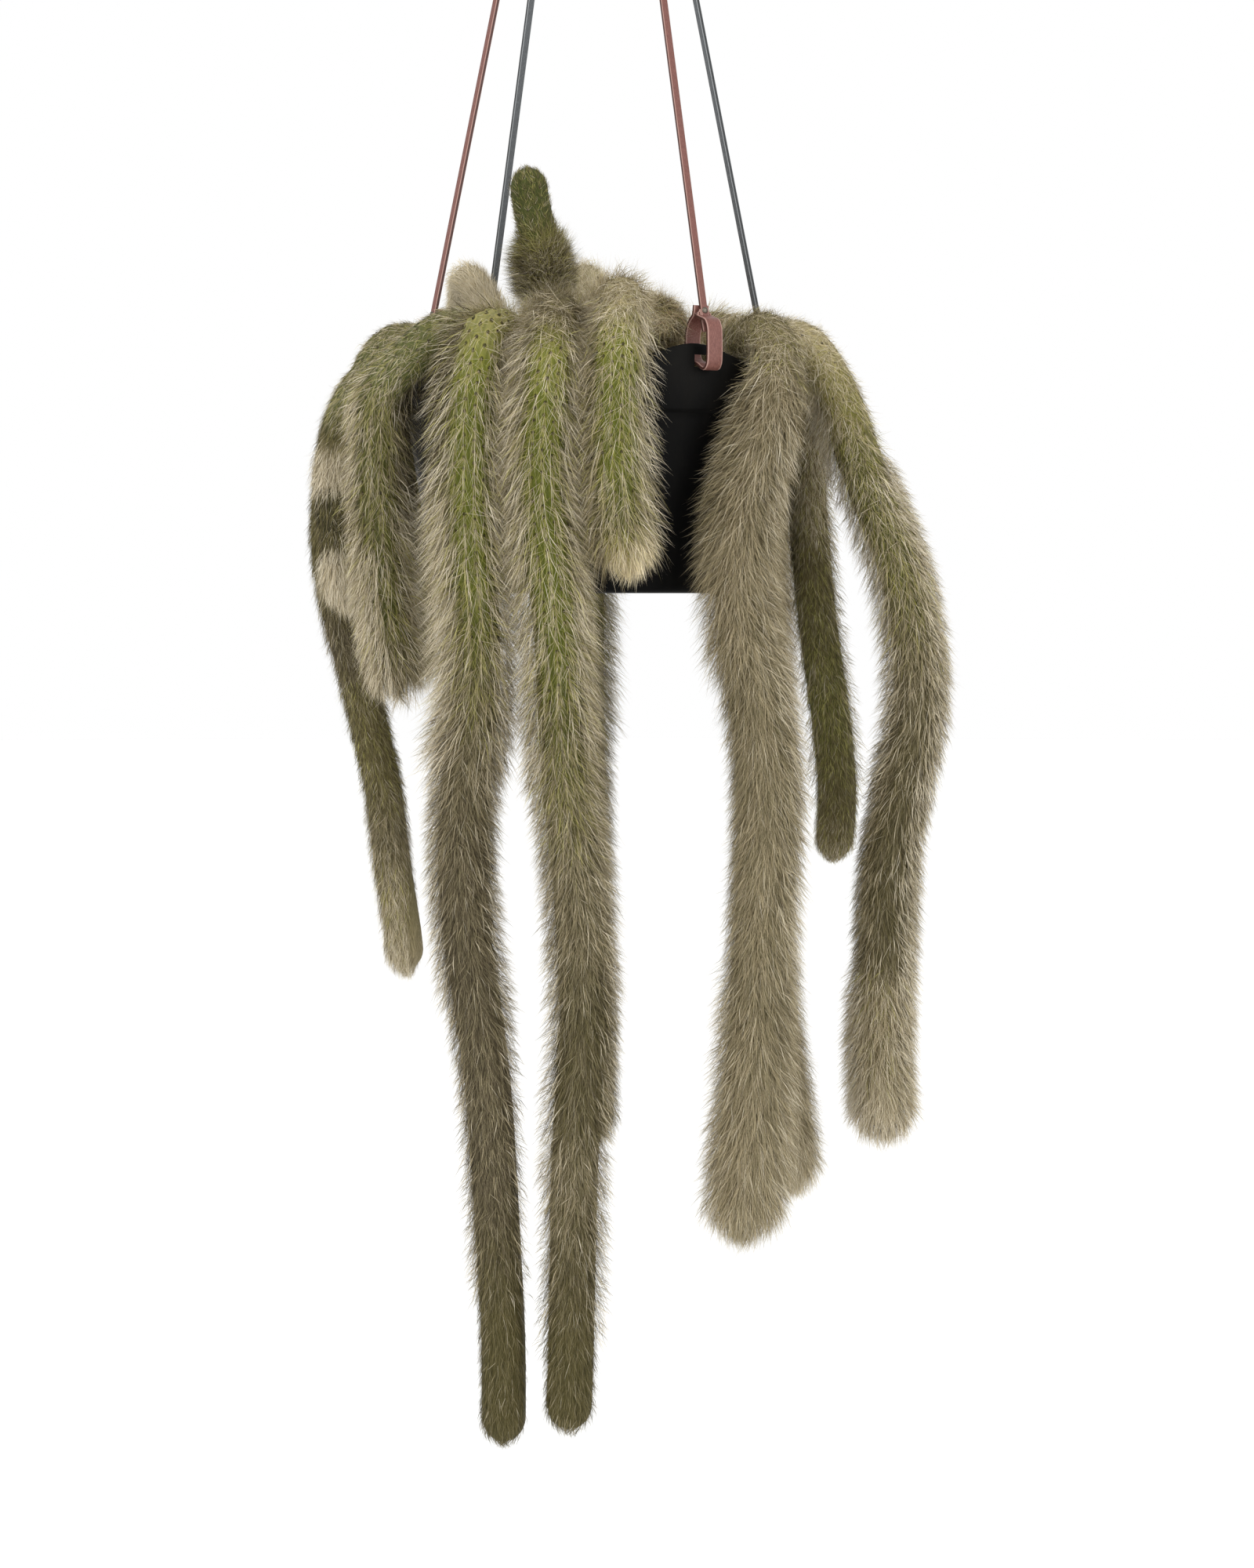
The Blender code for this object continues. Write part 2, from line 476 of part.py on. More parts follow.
# ---------------------------------------------------------------- cap and hook
cap_top = CAP_BOTTOM + CAP_HEIGHT
turned("hanger_cap", [
    (CAP_INNER_R - 0.0001, CAP_BOTTOM),
    (CAP_INNER_R, CAP_BOTTOM + 0.001),
    (CAP_INNER_R, cap_top - 0.0040),
    (CAP_INNER_R - 0.0012, cap_top - 0.0028),
    (HOOK_WIRE_R + GAP, cap_top - 0.0028),
    (HOOK_WIRE_R + GAP, cap_top),
    (CAP_R * 0.55, cap_top),
    (CAP_R * 0.88, cap_top - 0.0012),
    (CAP_R, cap_top - 0.0040),
    (CAP_R, CAP_BOTTOM + 0.0012),
    (CAP_R - 0.0005, CAP_BOTTOM),
    (CAP_INNER_R - 0.0001, CAP_BOTTOM),
], 24, METAL)

crook = HOOK_CROOK_R + HOOK_WIRE_R  # radius of the wire's centre line, about a point one inner radius under the origin
head_top = cap_top - 0.0028 - GAP
route = [(0, head_top - 0.0012), (0, head_top + 0.0045), (0, head_top + 0.0100), (0, -0.0330)]
for k in range(1, 5):  # the shank eases over to the crook's side
    a = k / 5
    route.append((-crook * (3 * a**2 - 2 * a**3) * 0.96, -0.0330 + 0.0160 * a))
for k in range(0, 15):
    a = math.radians(186 - 215 * k / 14)
    route.append((crook * math.cos(a), -HOOK_CROOK_R + crook * math.sin(a)))
line = smooth_route(np.array([(x, 0, z) for x, z in route], float), 0.0050)
curve = bpy.data.curves.new("hook_line", "CURVE")
curve.dimensions, curve.bevel_depth, curve.bevel_resolution, curve.use_fill_caps = "3D", HOOK_WIRE_R, 2, True
spline = curve.splines.new("POLY")
spline.points.add(len(line) - 1)
for k, p in enumerate(line):
    spline.points[k].co = (*p, 1)
    spline.points[k].radius = 1.0 if k < len(line) - 1 else 0.6
wire = bpy.data.objects.new("hook_line", curve)
parts.objects.link(wire)
hook = as_mesh(wire, "hook", METAL, 50)
head = turned("hook_head", [
    (0.0, head_top),
    (0.0050, head_top),
    (0.0050, head_top - 0.0020),
    (0.0044, head_top - 0.0026),
    (0.0, head_top - 0.0026),
], 20, METAL)
for group in list(head.users_collection):
    group.objects.unlink(head)
cutters.objects.link(head)
head.hide_render, head.display_type = True, "WIRE"
join = hook.modifiers.new("head", "BOOLEAN")
join.operation, join.object, join.solver = "UNION", head, "EXACT"

# ---------------------------------------------------------------- stems
OLIVE = {"stem_left_drop", "stem_right_drop", "stem_upright"}
TAN = {"stem_right_tail", "stem_back_right", "stem_back_arch", "stem_right_bud"}
for name, (line, base_r, radius) in stem_routes().items():
    run = np.concatenate([[0], np.cumsum(np.linalg.norm(np.diff(line, axis=0), axis=1))])
    length = run[-1]
    body = np.linspace(0, length - radius, max(4, int(round((length - radius) / STEP))) + 1)
    at = np.concatenate([[0, 0.004], body[1:], length - radius * np.array([0.62, 0.30, 0.10, 0.0])])
    pts = np.stack([np.interp(at, run, line[:, k]) for k in range(3)], 1)
    to_tip = length - at
    tip = np.where(to_tip < radius, np.sqrt(np.clip(1 - (1 - to_tip / radius) ** 2, 0.035, 1)), 1.0)
    radii = (base_r + (radius - base_r) * np.clip(at / 0.06, 0, 1)) * tip
    data = bpy.data.curves.new(name, "CURVE")
    data.dimensions, data.bevel_depth, data.bevel_resolution, data.use_fill_caps = "3D", radius, 2, True
    data.twist_mode = "MINIMUM"
    spline = data.splines.new("POLY")
    spline.points.add(len(pts) - 1)
    for k, p in enumerate(pts):
        spline.points[k].co = (*p, 1)
        spline.points[k].radius = radii[k] / radius
    mat = STEM_OLIVE if name in OLIVE else STEM_TAN if name in TAN else STEM_GREEN
    data.materials.append(mat)
    parts.objects.link(bpy.data.objects.new(name, data))
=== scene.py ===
import math

import bmesh
import bpy
import numpy as np
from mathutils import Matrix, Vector


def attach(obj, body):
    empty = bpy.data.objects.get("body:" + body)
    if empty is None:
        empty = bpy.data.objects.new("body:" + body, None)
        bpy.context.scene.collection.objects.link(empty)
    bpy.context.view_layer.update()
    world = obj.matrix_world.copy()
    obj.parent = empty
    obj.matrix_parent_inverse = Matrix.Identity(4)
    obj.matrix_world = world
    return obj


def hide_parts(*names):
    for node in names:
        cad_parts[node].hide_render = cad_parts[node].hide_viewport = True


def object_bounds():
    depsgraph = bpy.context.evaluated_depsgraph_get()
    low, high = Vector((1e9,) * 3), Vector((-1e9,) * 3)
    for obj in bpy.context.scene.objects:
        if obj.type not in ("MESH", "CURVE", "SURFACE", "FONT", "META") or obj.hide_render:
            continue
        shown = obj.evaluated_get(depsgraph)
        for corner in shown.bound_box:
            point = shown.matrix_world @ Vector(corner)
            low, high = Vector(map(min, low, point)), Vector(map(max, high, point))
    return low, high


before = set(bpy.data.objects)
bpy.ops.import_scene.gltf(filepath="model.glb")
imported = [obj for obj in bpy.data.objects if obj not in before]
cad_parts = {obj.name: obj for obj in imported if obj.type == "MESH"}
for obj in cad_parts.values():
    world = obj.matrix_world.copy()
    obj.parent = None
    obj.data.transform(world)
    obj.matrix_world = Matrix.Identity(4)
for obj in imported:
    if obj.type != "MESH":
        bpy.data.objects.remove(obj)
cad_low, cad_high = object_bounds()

# ---------------------------------------------------------------- sizes (metres)
POT_HEIGHT = 0.1195
POT_RIM_R = 0.104
POT_BAND_R = 0.1015
POT_BASE_R = 0.087
POT_BAND = 0.0275
POT_WALL = 0.0019
EAR_RISE = 0.0075
EAR_HALF_DEG, EAR_ASIDE_DEG = 20.0, 3.0
SLOT_WIDTH, SLOT_LOW, SLOT_HIGH = 0.0120, -0.0044, 0.0018
DRAIN_R, DRAIN_RING_R, DRAIN_COUNT = 0.0045, 0.058, 6
FLOOR_T = 0.0024
SOIL_DROP = 0.0165
GAP = 0.0003
STRAP_AZ = {"strap_front_right": 32.0, "strap_back_right": 121.0, "strap_back_left": 217.0, "strap_front_left": 305.0}
STRAP_LACE = (0.0040, 0.0022)
STRAP_BAND = (0.0092, 0.0016)
LOOP_INNER_R, LOOP_OUTER_R, LOOP_TOP = 0.0925, 0.1130, 0.0262
RIVET_R, RIVET_HEAD_R, RIVET_HEAD_T = 0.0010, 0.0017, 0.0007
HOOK_WIRE_R = 0.0020
HOOK_CROOK_R = 0.0140
CAP_BOTTOM = -0.0700
CAP_HEIGHT, CAP_R, CAP_INNER_R = 0.021, 0.0098, 0.0084
BASE_Z = -0.6200
RIM_Z = BASE_Z + POT_HEIGHT
SOIL_Z = RIM_Z - SOIL_DROP
UNIT = 0.00042
EYE_X, EYE_DISTANCE = 0.01554, 2.0
EYE_TILT = math.atan(243 * UNIT / EYE_DISTANCE)
FAR = EYE_DISTANCE / math.cos(EYE_TILT)
FLOOR_Z = -1.242


def seen(u, v, depth):
    """World point drawn at (u, v) on the front elevation, depth millimetres behind the pot's axis."""
    a, b = (u - 800) * UNIT, (1000 - v) * UNIT
    along = b * math.sin(EYE_TILT) + FAR * math.cos(EYE_TILT)
    t = (EYE_DISTANCE + depth / 1000) / along
    return np.array([EYE_X + a * t, depth / 1000, BASE_Z + t * (b * math.cos(EYE_TILT) - FAR * math.sin(EYE_TILT))])


def row_of(points):
    """How far down the front elevation each world point is drawn."""
    d = points - np.array([EYE_X, -EYE_DISTANCE, BASE_Z])
    deep = d[:, 1] * math.cos(EYE_TILT) - d[:, 2] * math.sin(EYE_TILT)
    high = d[:, 1] * math.sin(EYE_TILT) + d[:, 2] * math.cos(EYE_TILT)
    return 1000 - high / deep * FAR / UNIT


def from_rim(x, y, z):
    return np.array([x / 1000, y / 1000, RIM_Z + z / 1000])


S, R = seen, from_rim
# name: (base x, base y in mm, radius at the base, radius along the stem in mm, route)
STEMS = {
    "stem_left_tail": (-40, -55, 11.0, 12.8, [
        S(634, 396, -84), S(615, 438, -109), S(603, 500, -114), S(600, 600, -114), S(602, 700, -112), S(609, 800, -110),
        S(607, 900, -107), S(593, 1000, -104), S(589, 1100, -102), S(597, 1200, -100), S(612, 1300, -98), S(624, 1400, -96),
        S(631, 1500, -95), S(637, 1600, -94), S(642, 1700, -94), S(643, 1780, -94), S(643, 1838, -94)]),
    "stem_center_tail": (-17, -66, 11.0, 12.8, [
        S(716, 390, -90), S(704, 440, -117), S(697, 500, -123), S(691, 600, -122), S(698, 700, -120), S(709, 800, -118),
        S(714, 900, -115), S(721, 1000, -112), S(733, 1100, -110), S(740, 1200, -108), S(744, 1300, -106), S(738, 1400, -105),
        S(733, 1500, -104), S(731, 1600, -103), S(729, 1700, -103), S(727, 1780, -103), S(726, 1822, -103)]),
    "stem_front_short": (12, -66, 11.0, 13.0, [
        S(797, 364, -84), S(793, 388, -108), S(788, 438, -120), S(785, 500, -125), S(786, 580, -124), S(791, 650, -122), S(798, 718, -118)]),
    "stem_front_bud": (30, -42, 10.0, 11.5, [S(828, 400, -58), S(846, 396, -72), S(857, 424, -82)]),
    "stem_left_short": (-58, -40, 10.5, 12.8, [
        R(-63, -60, 13), R(-73, -75, 14), S(541, 441, -87), S(513, 455, -87), S(492, 480, -82), S(483, 518, -75),
        S(482, 560, -70), S(481, 600, -66),
        S(485, 680, -62), S(494, 780, -60), S(505, 850, -58), S(509, 874, -58)]),
    "stem_left_arch": (-68, -16, 8.0, 12.0, [
        R(-84, -15, 11), R(-99, -14, 15), R(-113, -19, 7), S(479, 476, -27), S(457, 503, -30), S(441, 537, -30),
        S(432, 580, -30), S(431, 640, -30),
        S(438, 710, -30), S(445, 764, -30)]),
    "stem_left_drop": (-69, 12, 8.0, 10.8, [
        R(-85, 17, 10), R(-100, 21, 12), R(-113, 23, 5), S(472, 493, 25), S(449, 528, 23), S(434, 570, 24),
        S(425, 620, 25), S(421, 660, 26), S(424, 720, 28), S(437, 790, 30),
        S(456, 860, 30), S(476, 945, 30), S(488, 1000, 30), S(501, 1100, 30), S(516, 1195, 30), S(520, 1235, 30)]),
    "stem_upright": (-22, 4, 11.0, 10.0, [S(698, 400, 4), S(696, 350, 2), S(687, 300, 0), S(678, 262, 0), S(672, 214, 0)]),
    "stem_back_arch": (-48, 51, 8.5, 9.5, [
        R(-54, 56, 14), R(-61, 60, 36), S(597, 356, 66), R(-75, 90, 40), R(-80, 104, 12), R(-80, 108, -20), R(-78, 109, -60),
        R(-75, 108, -110), S(601, 800, 108), S(600, 1000, 110), S(600, 1150, 110), S(606, 1268, 110)]),
    "stem_right_tail": (56, -38, 11.0, 13.4, [
        S(962, 424, -47), S(985, 430, -62), S(992, 470, -78), S(981, 530, -86), S(962, 590, -88), S(948, 650, -92),
        S(943, 720, -94), S(948, 790, -95), S(961, 870, -96), S(973, 950, -96), S(977, 1050, -96), S(971, 1150, -96),
        S(967, 1250, -96), S(963, 1350, -96), S(956, 1450, -96), S(950, 1520, -96), S(948, 1560, -96)]),
    "stem_right_outer": (67, -10, 11.0, 13.0, [
        S(985, 420, -18), S(1012, 428, -22), S(1042, 456, -26), S(1070, 508, -30), S(1098, 590, -34), S(1121, 650, -35),
        S(1146, 715, -36), S(1162, 785, -36), S(1170, 860, -36), S(1166, 930, -36), S(1151, 1000, -36), S(1137, 1070, -36),
        S(1129, 1130, -36), S(1127, 1200, -36), S(1124, 1280, -36), S(1122, 1350, -36), S(1125, 1400, -36),
        S(1127, 1436, -36)]),
    "stem_right_drop": (66, 17, 10.5, 10.6, [
        S(985, 432, 20), S(1014, 444, 24), S(1036, 486, 24), S(1034, 540, 24), S(1029, 600, 22), S(1031, 660, 20),
        S(1036, 720, 18), S(1044, 800, 17), S(1055, 880, 17), S(1064, 950, 17), S(1068, 1010, 17), S(1066, 1060, 17),
        S(1062, 1094, 17)]),
    "stem_right_bud": (42, 10, 8.0, 8.0, [R(50, 8, 10), R(70, 4, 17), R(91, 2.5, 16.5), R(107, 2.5, 15)]),
    "stem_back_center": (-2, 70, 10.0, 12.6, [
        R(-6, 80, 42), R(-9, 95, 53), R(-9, 114, 34), R(-8, 122, -6), R(-8, 124, -80), S(745, 800, 122), S(746, 1000, 122),
        S(750, 1200, 122), S(755, 1350, 122), S(757, 1446, 122)]),
    "stem_back_right": (48, 51, 10.5, 12.6, [
        R(60, 65, 24), R(79, 83, 16), R(89, 95, -14), R(93, 100, -70), S(975, 800, 98), S(975, 1000, 100),
        S(978, 1200, 100), S(988, 1300, 100), S(1002, 1400, 100), S(1012, 1470, 100), S(1014, 1508, 100)]),
    "stem_back_left": (-63, 31, 9.5, 12.2, [
        R(-75, 41, 12), R(-87, 50, 15), R(-99, 57, 8), R(-105, 61, -8), R(-106, 63, -40), R(-104, 64, -100),
        R(-101, 64, -166)]),
    "stem_back_short_left": (-24, 66, 10.0, 12.4, [
        R(-31, 82, 22), R(-38, 104, 15), R(-42, 117, -14), R(-43, 119, -60), R(-42, 118, -100)]),
    "stem_back_short_right": (24, 66, 10.0, 12.4, [
        R(27, 80, 30), R(33, 102, 28), R(38, 117, -8), R(40, 119, -60), R(40, 118, -104)]),
}


def smooth_route(points, spacing):
    """Even stations along a centripetal Catmull-Rom curve through the points."""
    p = np.vstack([2 * points[0] - points[1], points, 2 * points[-1] - points[-2]])
    out = []
    for k in range(1, len(p) - 2):
        a, b, c, d = p[k - 1 : k + 3]
        t0 = 0.0
        t1 = t0 + max(np.linalg.norm(b - a), 1e-9) ** 0.5
        t2 = t1 + max(np.linalg.norm(c - b), 1e-9) ** 0.5
        t3 = t2 + max(np.linalg.norm(d - c), 1e-9) ** 0.5
        for t in np.linspace(t1, t2, 24, endpoint=False):
            ab = (t1 - t) / (t1 - t0) * a + (t - t0) / (t1 - t0) * b
            bc = (t2 - t) / (t2 - t1) * b + (t - t1) / (t2 - t1) * c
            cd = (t3 - t) / (t3 - t2) * c + (t - t2) / (t3 - t2) * d
            abc = (t2 - t) / (t2 - t0) * ab + (t - t0) / (t2 - t0) * bc
            bcd = (t3 - t) / (t3 - t1) * bc + (t - t1) / (t3 - t1) * cd
            out.append((t2 - t) / (t2 - t1) * abc + (t - t1) / (t2 - t1) * bcd)
    out.append(p[-2])
    out = np.array(out)
    run = np.concatenate([[0], np.cumsum(np.linalg.norm(np.diff(out, axis=0), axis=1))])
    count = max(4, int(round(run[-1] / spacing)))
    at = np.linspace(0, run[-1], count + 1)
    return np.stack([np.interp(at, run, out[:, k]) for k in range(out.shape[1])], 1)


def ear(azimuth_deg):
    """Height of the rim over its plain height at this azimuth (0 to the front, 90 to the right)."""
    rise = 0.0
    for az in STRAP_AZ.values():
        off = abs((azimuth_deg - az + EAR_ASIDE_DEG + 180) % 360 - 180)
        if off < EAR_HALF_DEG:
            rise = max(rise, EAR_RISE * 0.5 * (1 + math.cos(math.pi * off / EAR_HALF_DEG)))
    return rise


def outward(az):
    a = math.radians(az)
    return np.array([math.sin(a), -math.cos(a), 0.0]), np.array([math.cos(a), math.sin(a), 0.0])


def loop_line():
    """The strap's centre line in its own plane, (out, up from the plain rim, share of the band's full width)."""
    inner, outer, mid = LOOP_INNER_R, LOOP_OUTER_R, (LOOP_INNER_R + LOOP_OUTER_R) / 2
    lace_foot = np.array([mid - 0.0002, LOOP_TOP])
    cap_end = np.array([0.0037, CAP_BOTTOM + 0.0125 - RIM_Z])
    line = [(*(cap_end + (lace_foot - cap_end) * t), 0.0) for t in (0.0, 0.03, 0.35, 0.68, 0.92)]
    line += [(lace_foot[0], lace_foot[1], 0.0), (mid - 0.0001, LOOP_TOP - 0.0018, 0.35), (mid + 0.0002, LOOP_TOP - 0.0040, 0.85)]
    line += [(mid + 0.0028, LOOP_TOP - 0.0058, 1.0), (outer - 0.0024, LOOP_TOP - 0.0076, 1.0), (outer - 0.0003, LOOP_TOP - 0.0116, 1.0)]
    line += [(outer, LOOP_TOP - 0.0157, 1.0), (outer, 0.0005, 1.0), (outer - 0.0006, -0.0032, 1.0), (outer - 0.0030, -0.0056, 1.0)]
    line += [(outer - 0.0060, -0.0049, 1.0), (mid + 0.0012, -0.0031, 1.0), (mid - 0.0016, -0.0023, 1.0), (inner + 0.0045, -0.0019, 1.0)]
    line += [(inner + 0.0015, 0.0, 1.0), (inner + 0.0002, 0.0034, 1.0), (inner, 0.0080, 1.0), (inner + 0.0002, LOOP_TOP - 0.0142, 1.0)]
    line += [(inner + 0.0016, LOOP_TOP - 0.0097, 1.0), (mid - 0.0060, LOOP_TOP - 0.0062, 1.0), (mid - 0.0033, LOOP_TOP - 0.0042, 1.0)]
    line += [(mid - 0.0024, LOOP_TOP + 0.0008, 1.0)]
    return line


def strap_obstacles():
    points, radii = [], []
    for az in STRAP_AZ.values():
        out, _ = outward(az)
        line = np.array(loop_line())
        dense = smooth_route(np.stack([line[:, 0], line[:, 1], line[:, 2]], 1)[3:], 0.004)
        for r, z, w in dense:
            points.append(out * r + np.array([0, 0, RIM_Z + z]))
            radii.append(0.0032 + 0.0024 * w)
    return np.array(points), np.array(radii)


def stem_routes():
    """Every stem's stations and radii, eased apart so that no two stems touch and none touches the pot or a strap."""
    routes = {}
    for name, (bx, by, base_r, radius, route) in STEMS.items():
        foot = np.array([bx / 1000, by / 1000, SOIL_Z + GAP])
        pts = np.vstack([foot, foot + [0, 0, 0.007], np.array(route)])
        line = smooth_route(pts, 0.008)
        line[1, :2] = foot[:2]
        routes[name] = [line, base_r / 1000, radius / 1000]
    names = list(routes)
    start = np.cumsum([0] + [len(routes[n][0]) for n in names])
    owner = np.concatenate([np.full(len(routes[n][0]), k) for k, n in enumerate(names)])
    pts = np.vstack([routes[n][0] for n in names])
    rad = np.concatenate([
        np.minimum(routes[n][2], routes[n][1] + (routes[n][2] - routes[n][1]) * np.arange(len(routes[n][0])) * 0.008 / 0.06)
        for n in names
    ])
    obstacles, obstacle_r = strap_obstacles()
    held = np.concatenate([np.arange(len(routes[n][0])) < 2 for n in names])
    busy = np.flatnonzero(pts[:, 2] > RIM_Z - 0.055)
    same = owner[busy][:, None] == owner[busy][None, :]
    reach = rad[busy][:, None] + rad[busy][None, :] + 0.0016
    keep_off = rad[busy][:, None] + obstacle_r[None, :] + 0.0012
    row = np.arange(len(busy))
    for _ in range(220):
        move = np.zeros_like(pts)
        crowd = pts[busy]
        dist = np.sqrt(((crowd[:, None, :] - crowd[None, :, :]) ** 2).sum(2)) + 1e-9
        short = np.where(same, 0, np.clip(reach - dist, 0, None))
        worst = short.argmax(1)
        move[busy] += (crowd - crowd[worst]) / dist[row, worst][:, None] * short[row, worst][:, None] * 0.5
        dist = np.sqrt(((crowd[:, None, :] - obstacles[None, :, :]) ** 2).sum(2)) + 1e-9
        short = np.clip(keep_off - dist, 0, None)
        worst = short.argmax(1)
        move[busy] += (crowd - obstacles[worst]) / dist[row, worst][:, None] * short[row, worst][:, None] * 0.7
        r = np.hypot(pts[:, 0], pts[:, 1])
        top = RIM_Z + np.array([ear(a) for a in np.degrees(np.arctan2(pts[:, 0], -pts[:, 1]))])
        near = np.full(len(pts), 1.0)
        away = np.zeros((len(pts), 2))
        here = np.stack([r, pts[:, 2]], 1)
        wall = [(POT_RIM_R - 0.0012, top - 0.0012), (POT_BAND_R, RIM_Z - POT_BAND), (POT_BASE_R - 0.001, BASE_Z + 0.001)]
        for (r0, z0), (r1, z1) in zip(wall, wall[1:]):
            a = np.stack([np.full(len(pts), r0), np.broadcast_to(z0, len(pts))], 1)
            ab = np.array([[r1, z1]]) - a
            t = np.clip(((here - a) * ab).sum(1) / (ab**2).sum(1), 0, 1)
            off = here - a - ab * t[:, None]
            d = np.linalg.norm(off, axis=1) + 1e-9
            closer = d < near
            near[closer], away[closer] = d[closer], (off / d[:, None])[closer]
        need = np.clip(rad + 0.0026 - near, 0, None) * 0.8
        need[(r < 0.075) | (pts[:, 2] < BASE_Z - 0.02)] = 0
        move += np.stack([pts[:, 0] / r * away[:, 0], pts[:, 1] / r * away[:, 0], away[:, 1]], 1) * need[:, None]
        move[held] = 0
        for a, b in zip(start, start[1:]):
            m = move[a:b]
            padded = np.vstack([m[:1] * 0, m[:1] * 0, m, m[-1:], m[-1:]])
            m = (padded[:-4] + 2 * padded[1:-3] + 3 * padded[2:-2] + 2 * padded[3:-1] + padded[4:]) / 9 * 1.6
            m[:2] = 0
            pts[a:b] += m
            line = pts[a:b]
            line[2:-1] += 0.06 * (line[1:-2] + line[3:] - 2 * line[2:-1]) * (np.linalg.norm(m[2:-1], axis=1) > 1e-7)[:, None]
    for k, n in enumerate(names):
        routes[n][0] = pts[start[k] : start[k + 1]]
    return routes


# ---------------------------------------------------------------- small helpers
def linear(r, g, b):
    """Linear colour of 0-255 display values."""
    out = []
    for c in (r, g, b):
        c /= 255
        out.append(c / 12.92 if c <= 0.04045 else ((c + 0.055) / 1.055) ** 2.4)
    return (*out, 1.0)


class Look:
    """A node material under construction."""

    def __init__(self, name, roughness=0.5, metallic=0.0, specular=0.5):
        self.mat = bpy.data.materials.new(name)
        self.mat.use_nodes = True
        self.tree = self.mat.node_tree
        self.shader = self.tree.nodes["Principled BSDF"]
        self.shader.inputs["Roughness"].default_value = roughness
        self.shader.inputs["Metallic"].default_value = metallic
        self.shader.inputs["Specular IOR Level"].default_value = specular

    def node(self, kind, inputs=None, **props):
        n = self.tree.nodes.new(kind)
        for k, v in props.items():
            setattr(n, k, v)
        for k, v in (inputs or {}).items():
            if isinstance(v, bpy.types.NodeSocket):
                self.tree.links.new(v, n.inputs[k])
            else:
                n.inputs[k].default_value = v
        return n

    def math(self, op, a, b=0.0, clamp=False):
        return self.node("ShaderNodeMath", {0: a, 1: b}, operation=op, use_clamp=clamp).outputs[0]

    def place(self, scale=(1, 1, 1)):
        coord = self.node("ShaderNodeTexCoord").outputs["Object"]
        return self.node("ShaderNodeMapping", {"Vector": coord, "Scale": scale}).outputs[0]

    def noise(self, vector, scale, detail=4.0, rough=0.55, distortion=0.0):
        return self.node("ShaderNodeTexNoise", {"Vector": vector, "Scale": scale, "Detail": detail, "Roughness": rough,
                                               "Distortion": distortion}).outputs["Fac"]

    def ramp(self, fac, stops, mode="LINEAR"):
        n = self.node("ShaderNodeValToRGB", {"Fac": fac})
        n.color_ramp.interpolation = mode
        while len(n.color_ramp.elements) < len(stops):
            n.color_ramp.elements.new(0.5)
        for e, (at, colour) in zip(n.color_ramp.elements, stops):
            e.position = at
        for e, (at, colour) in zip(n.color_ramp.elements, stops):
            e.color = colour
        return n.outputs["Color"]

    def mix(self, fac, a, b, blend="MIX"):
        n = self.node("ShaderNodeMix", data_type="RGBA", blend_type=blend)
        for key, value in ((0, fac), (6, a), (7, b)):
            if isinstance(value, bpy.types.NodeSocket):
                self.tree.links.new(value, n.inputs[key])
            else:
                n.inputs[key].default_value = value
        return n.outputs[2]

    def span(self, value, low, high, to_low=0.0, to_high=1.0):
        return self.node("ShaderNodeMapRange", {"Value": value, "From Min": low, "From Max": high, "To Min": to_low, "To Max": to_high}).outputs[0]

    def bump(self, height, strength, distance):
        n = self.node("ShaderNodeBump", {"Height": height, "Strength": strength, "Distance": distance})
        self.tree.links.new(n.outputs[0], self.shader.inputs["Normal"])

    def to(self, socket, value):
        self.tree.links.new(value, self.shader.inputs[socket])


def mesh_object(name, verts, faces, mat, smooth=True):
    mesh = bpy.data.meshes.new(name)
    mesh.from_pydata([tuple(v) for v in verts], [], faces)
    mesh.materials.append(mat)
    if smooth:
        mesh.shade_smooth()
    obj = bpy.data.objects.new(name, mesh)
    bpy.context.scene.collection.objects.link(obj)
    return obj


def triangle_mesh(name, verts, tris, mat, uv=None, uv_name="OFBake", normals=None):
    """A mesh from arrays: corners n x 3, triangles m x 3, and one map coordinate for each corner."""
    mesh = bpy.data.meshes.new(name)
    mesh.vertices.add(len(verts))
    mesh.vertices.foreach_set("co", np.ascontiguousarray(verts, np.float32).ravel())
    mesh.loops.add(len(tris) * 3)
    mesh.loops.foreach_set("vertex_index", np.ascontiguousarray(tris, np.int32).ravel())
    mesh.polygons.add(len(tris))
    mesh.polygons.foreach_set("loop_start", np.arange(0, len(tris) * 3, 3, dtype=np.int32))
    if uv is not None:
        layer = mesh.uv_layers.new(name=uv_name)
        layer.uv.foreach_set("vector", np.ascontiguousarray(uv[tris.ravel()], np.float32).ravel())
    mesh.update(calc_edges=True)
    mesh.shade_smooth()
    if normals is not None:
        mesh.normals_split_custom_set_from_vertices(np.ascontiguousarray(normals, np.float32))
    mesh.materials.append(mat)
    obj = bpy.data.objects.new(name, mesh)
    bpy.context.scene.collection.objects.link(obj)
    return obj


def unit(v):
    return v / np.maximum(np.linalg.norm(v, axis=-1, keepdims=True), 1e-12)


def face_out(obj):
    bm = bmesh.new()
    bm.from_mesh(obj.data)
    bmesh.ops.recalc_face_normals(bm, faces=bm.faces)
    bm.to_mesh(obj.data)
    bm.free()
    return obj


def stands_for(obj, *nodes, slot=None):
    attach(obj, "root")
    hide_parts(*nodes)
    return obj


# ---------------------------------------------------------------- camera
scene = bpy.context.scene
camera_data = bpy.data.cameras.new("camera")
camera_data.sensor_fit = "AUTO"
camera_data.sensor_width = 36
camera_data.lens = FAR * 36 / (2000 * UNIT)
camera_data.clip_start, camera_data.clip_end = 0.05, 100
camera = bpy.data.objects.new("camera", camera_data)
camera.location = (EYE_X, -EYE_DISTANCE, BASE_Z)
camera.rotation_euler = (math.pi / 2 - EYE_TILT, 0, 0)
scene.collection.objects.link(camera)
scene.camera = camera

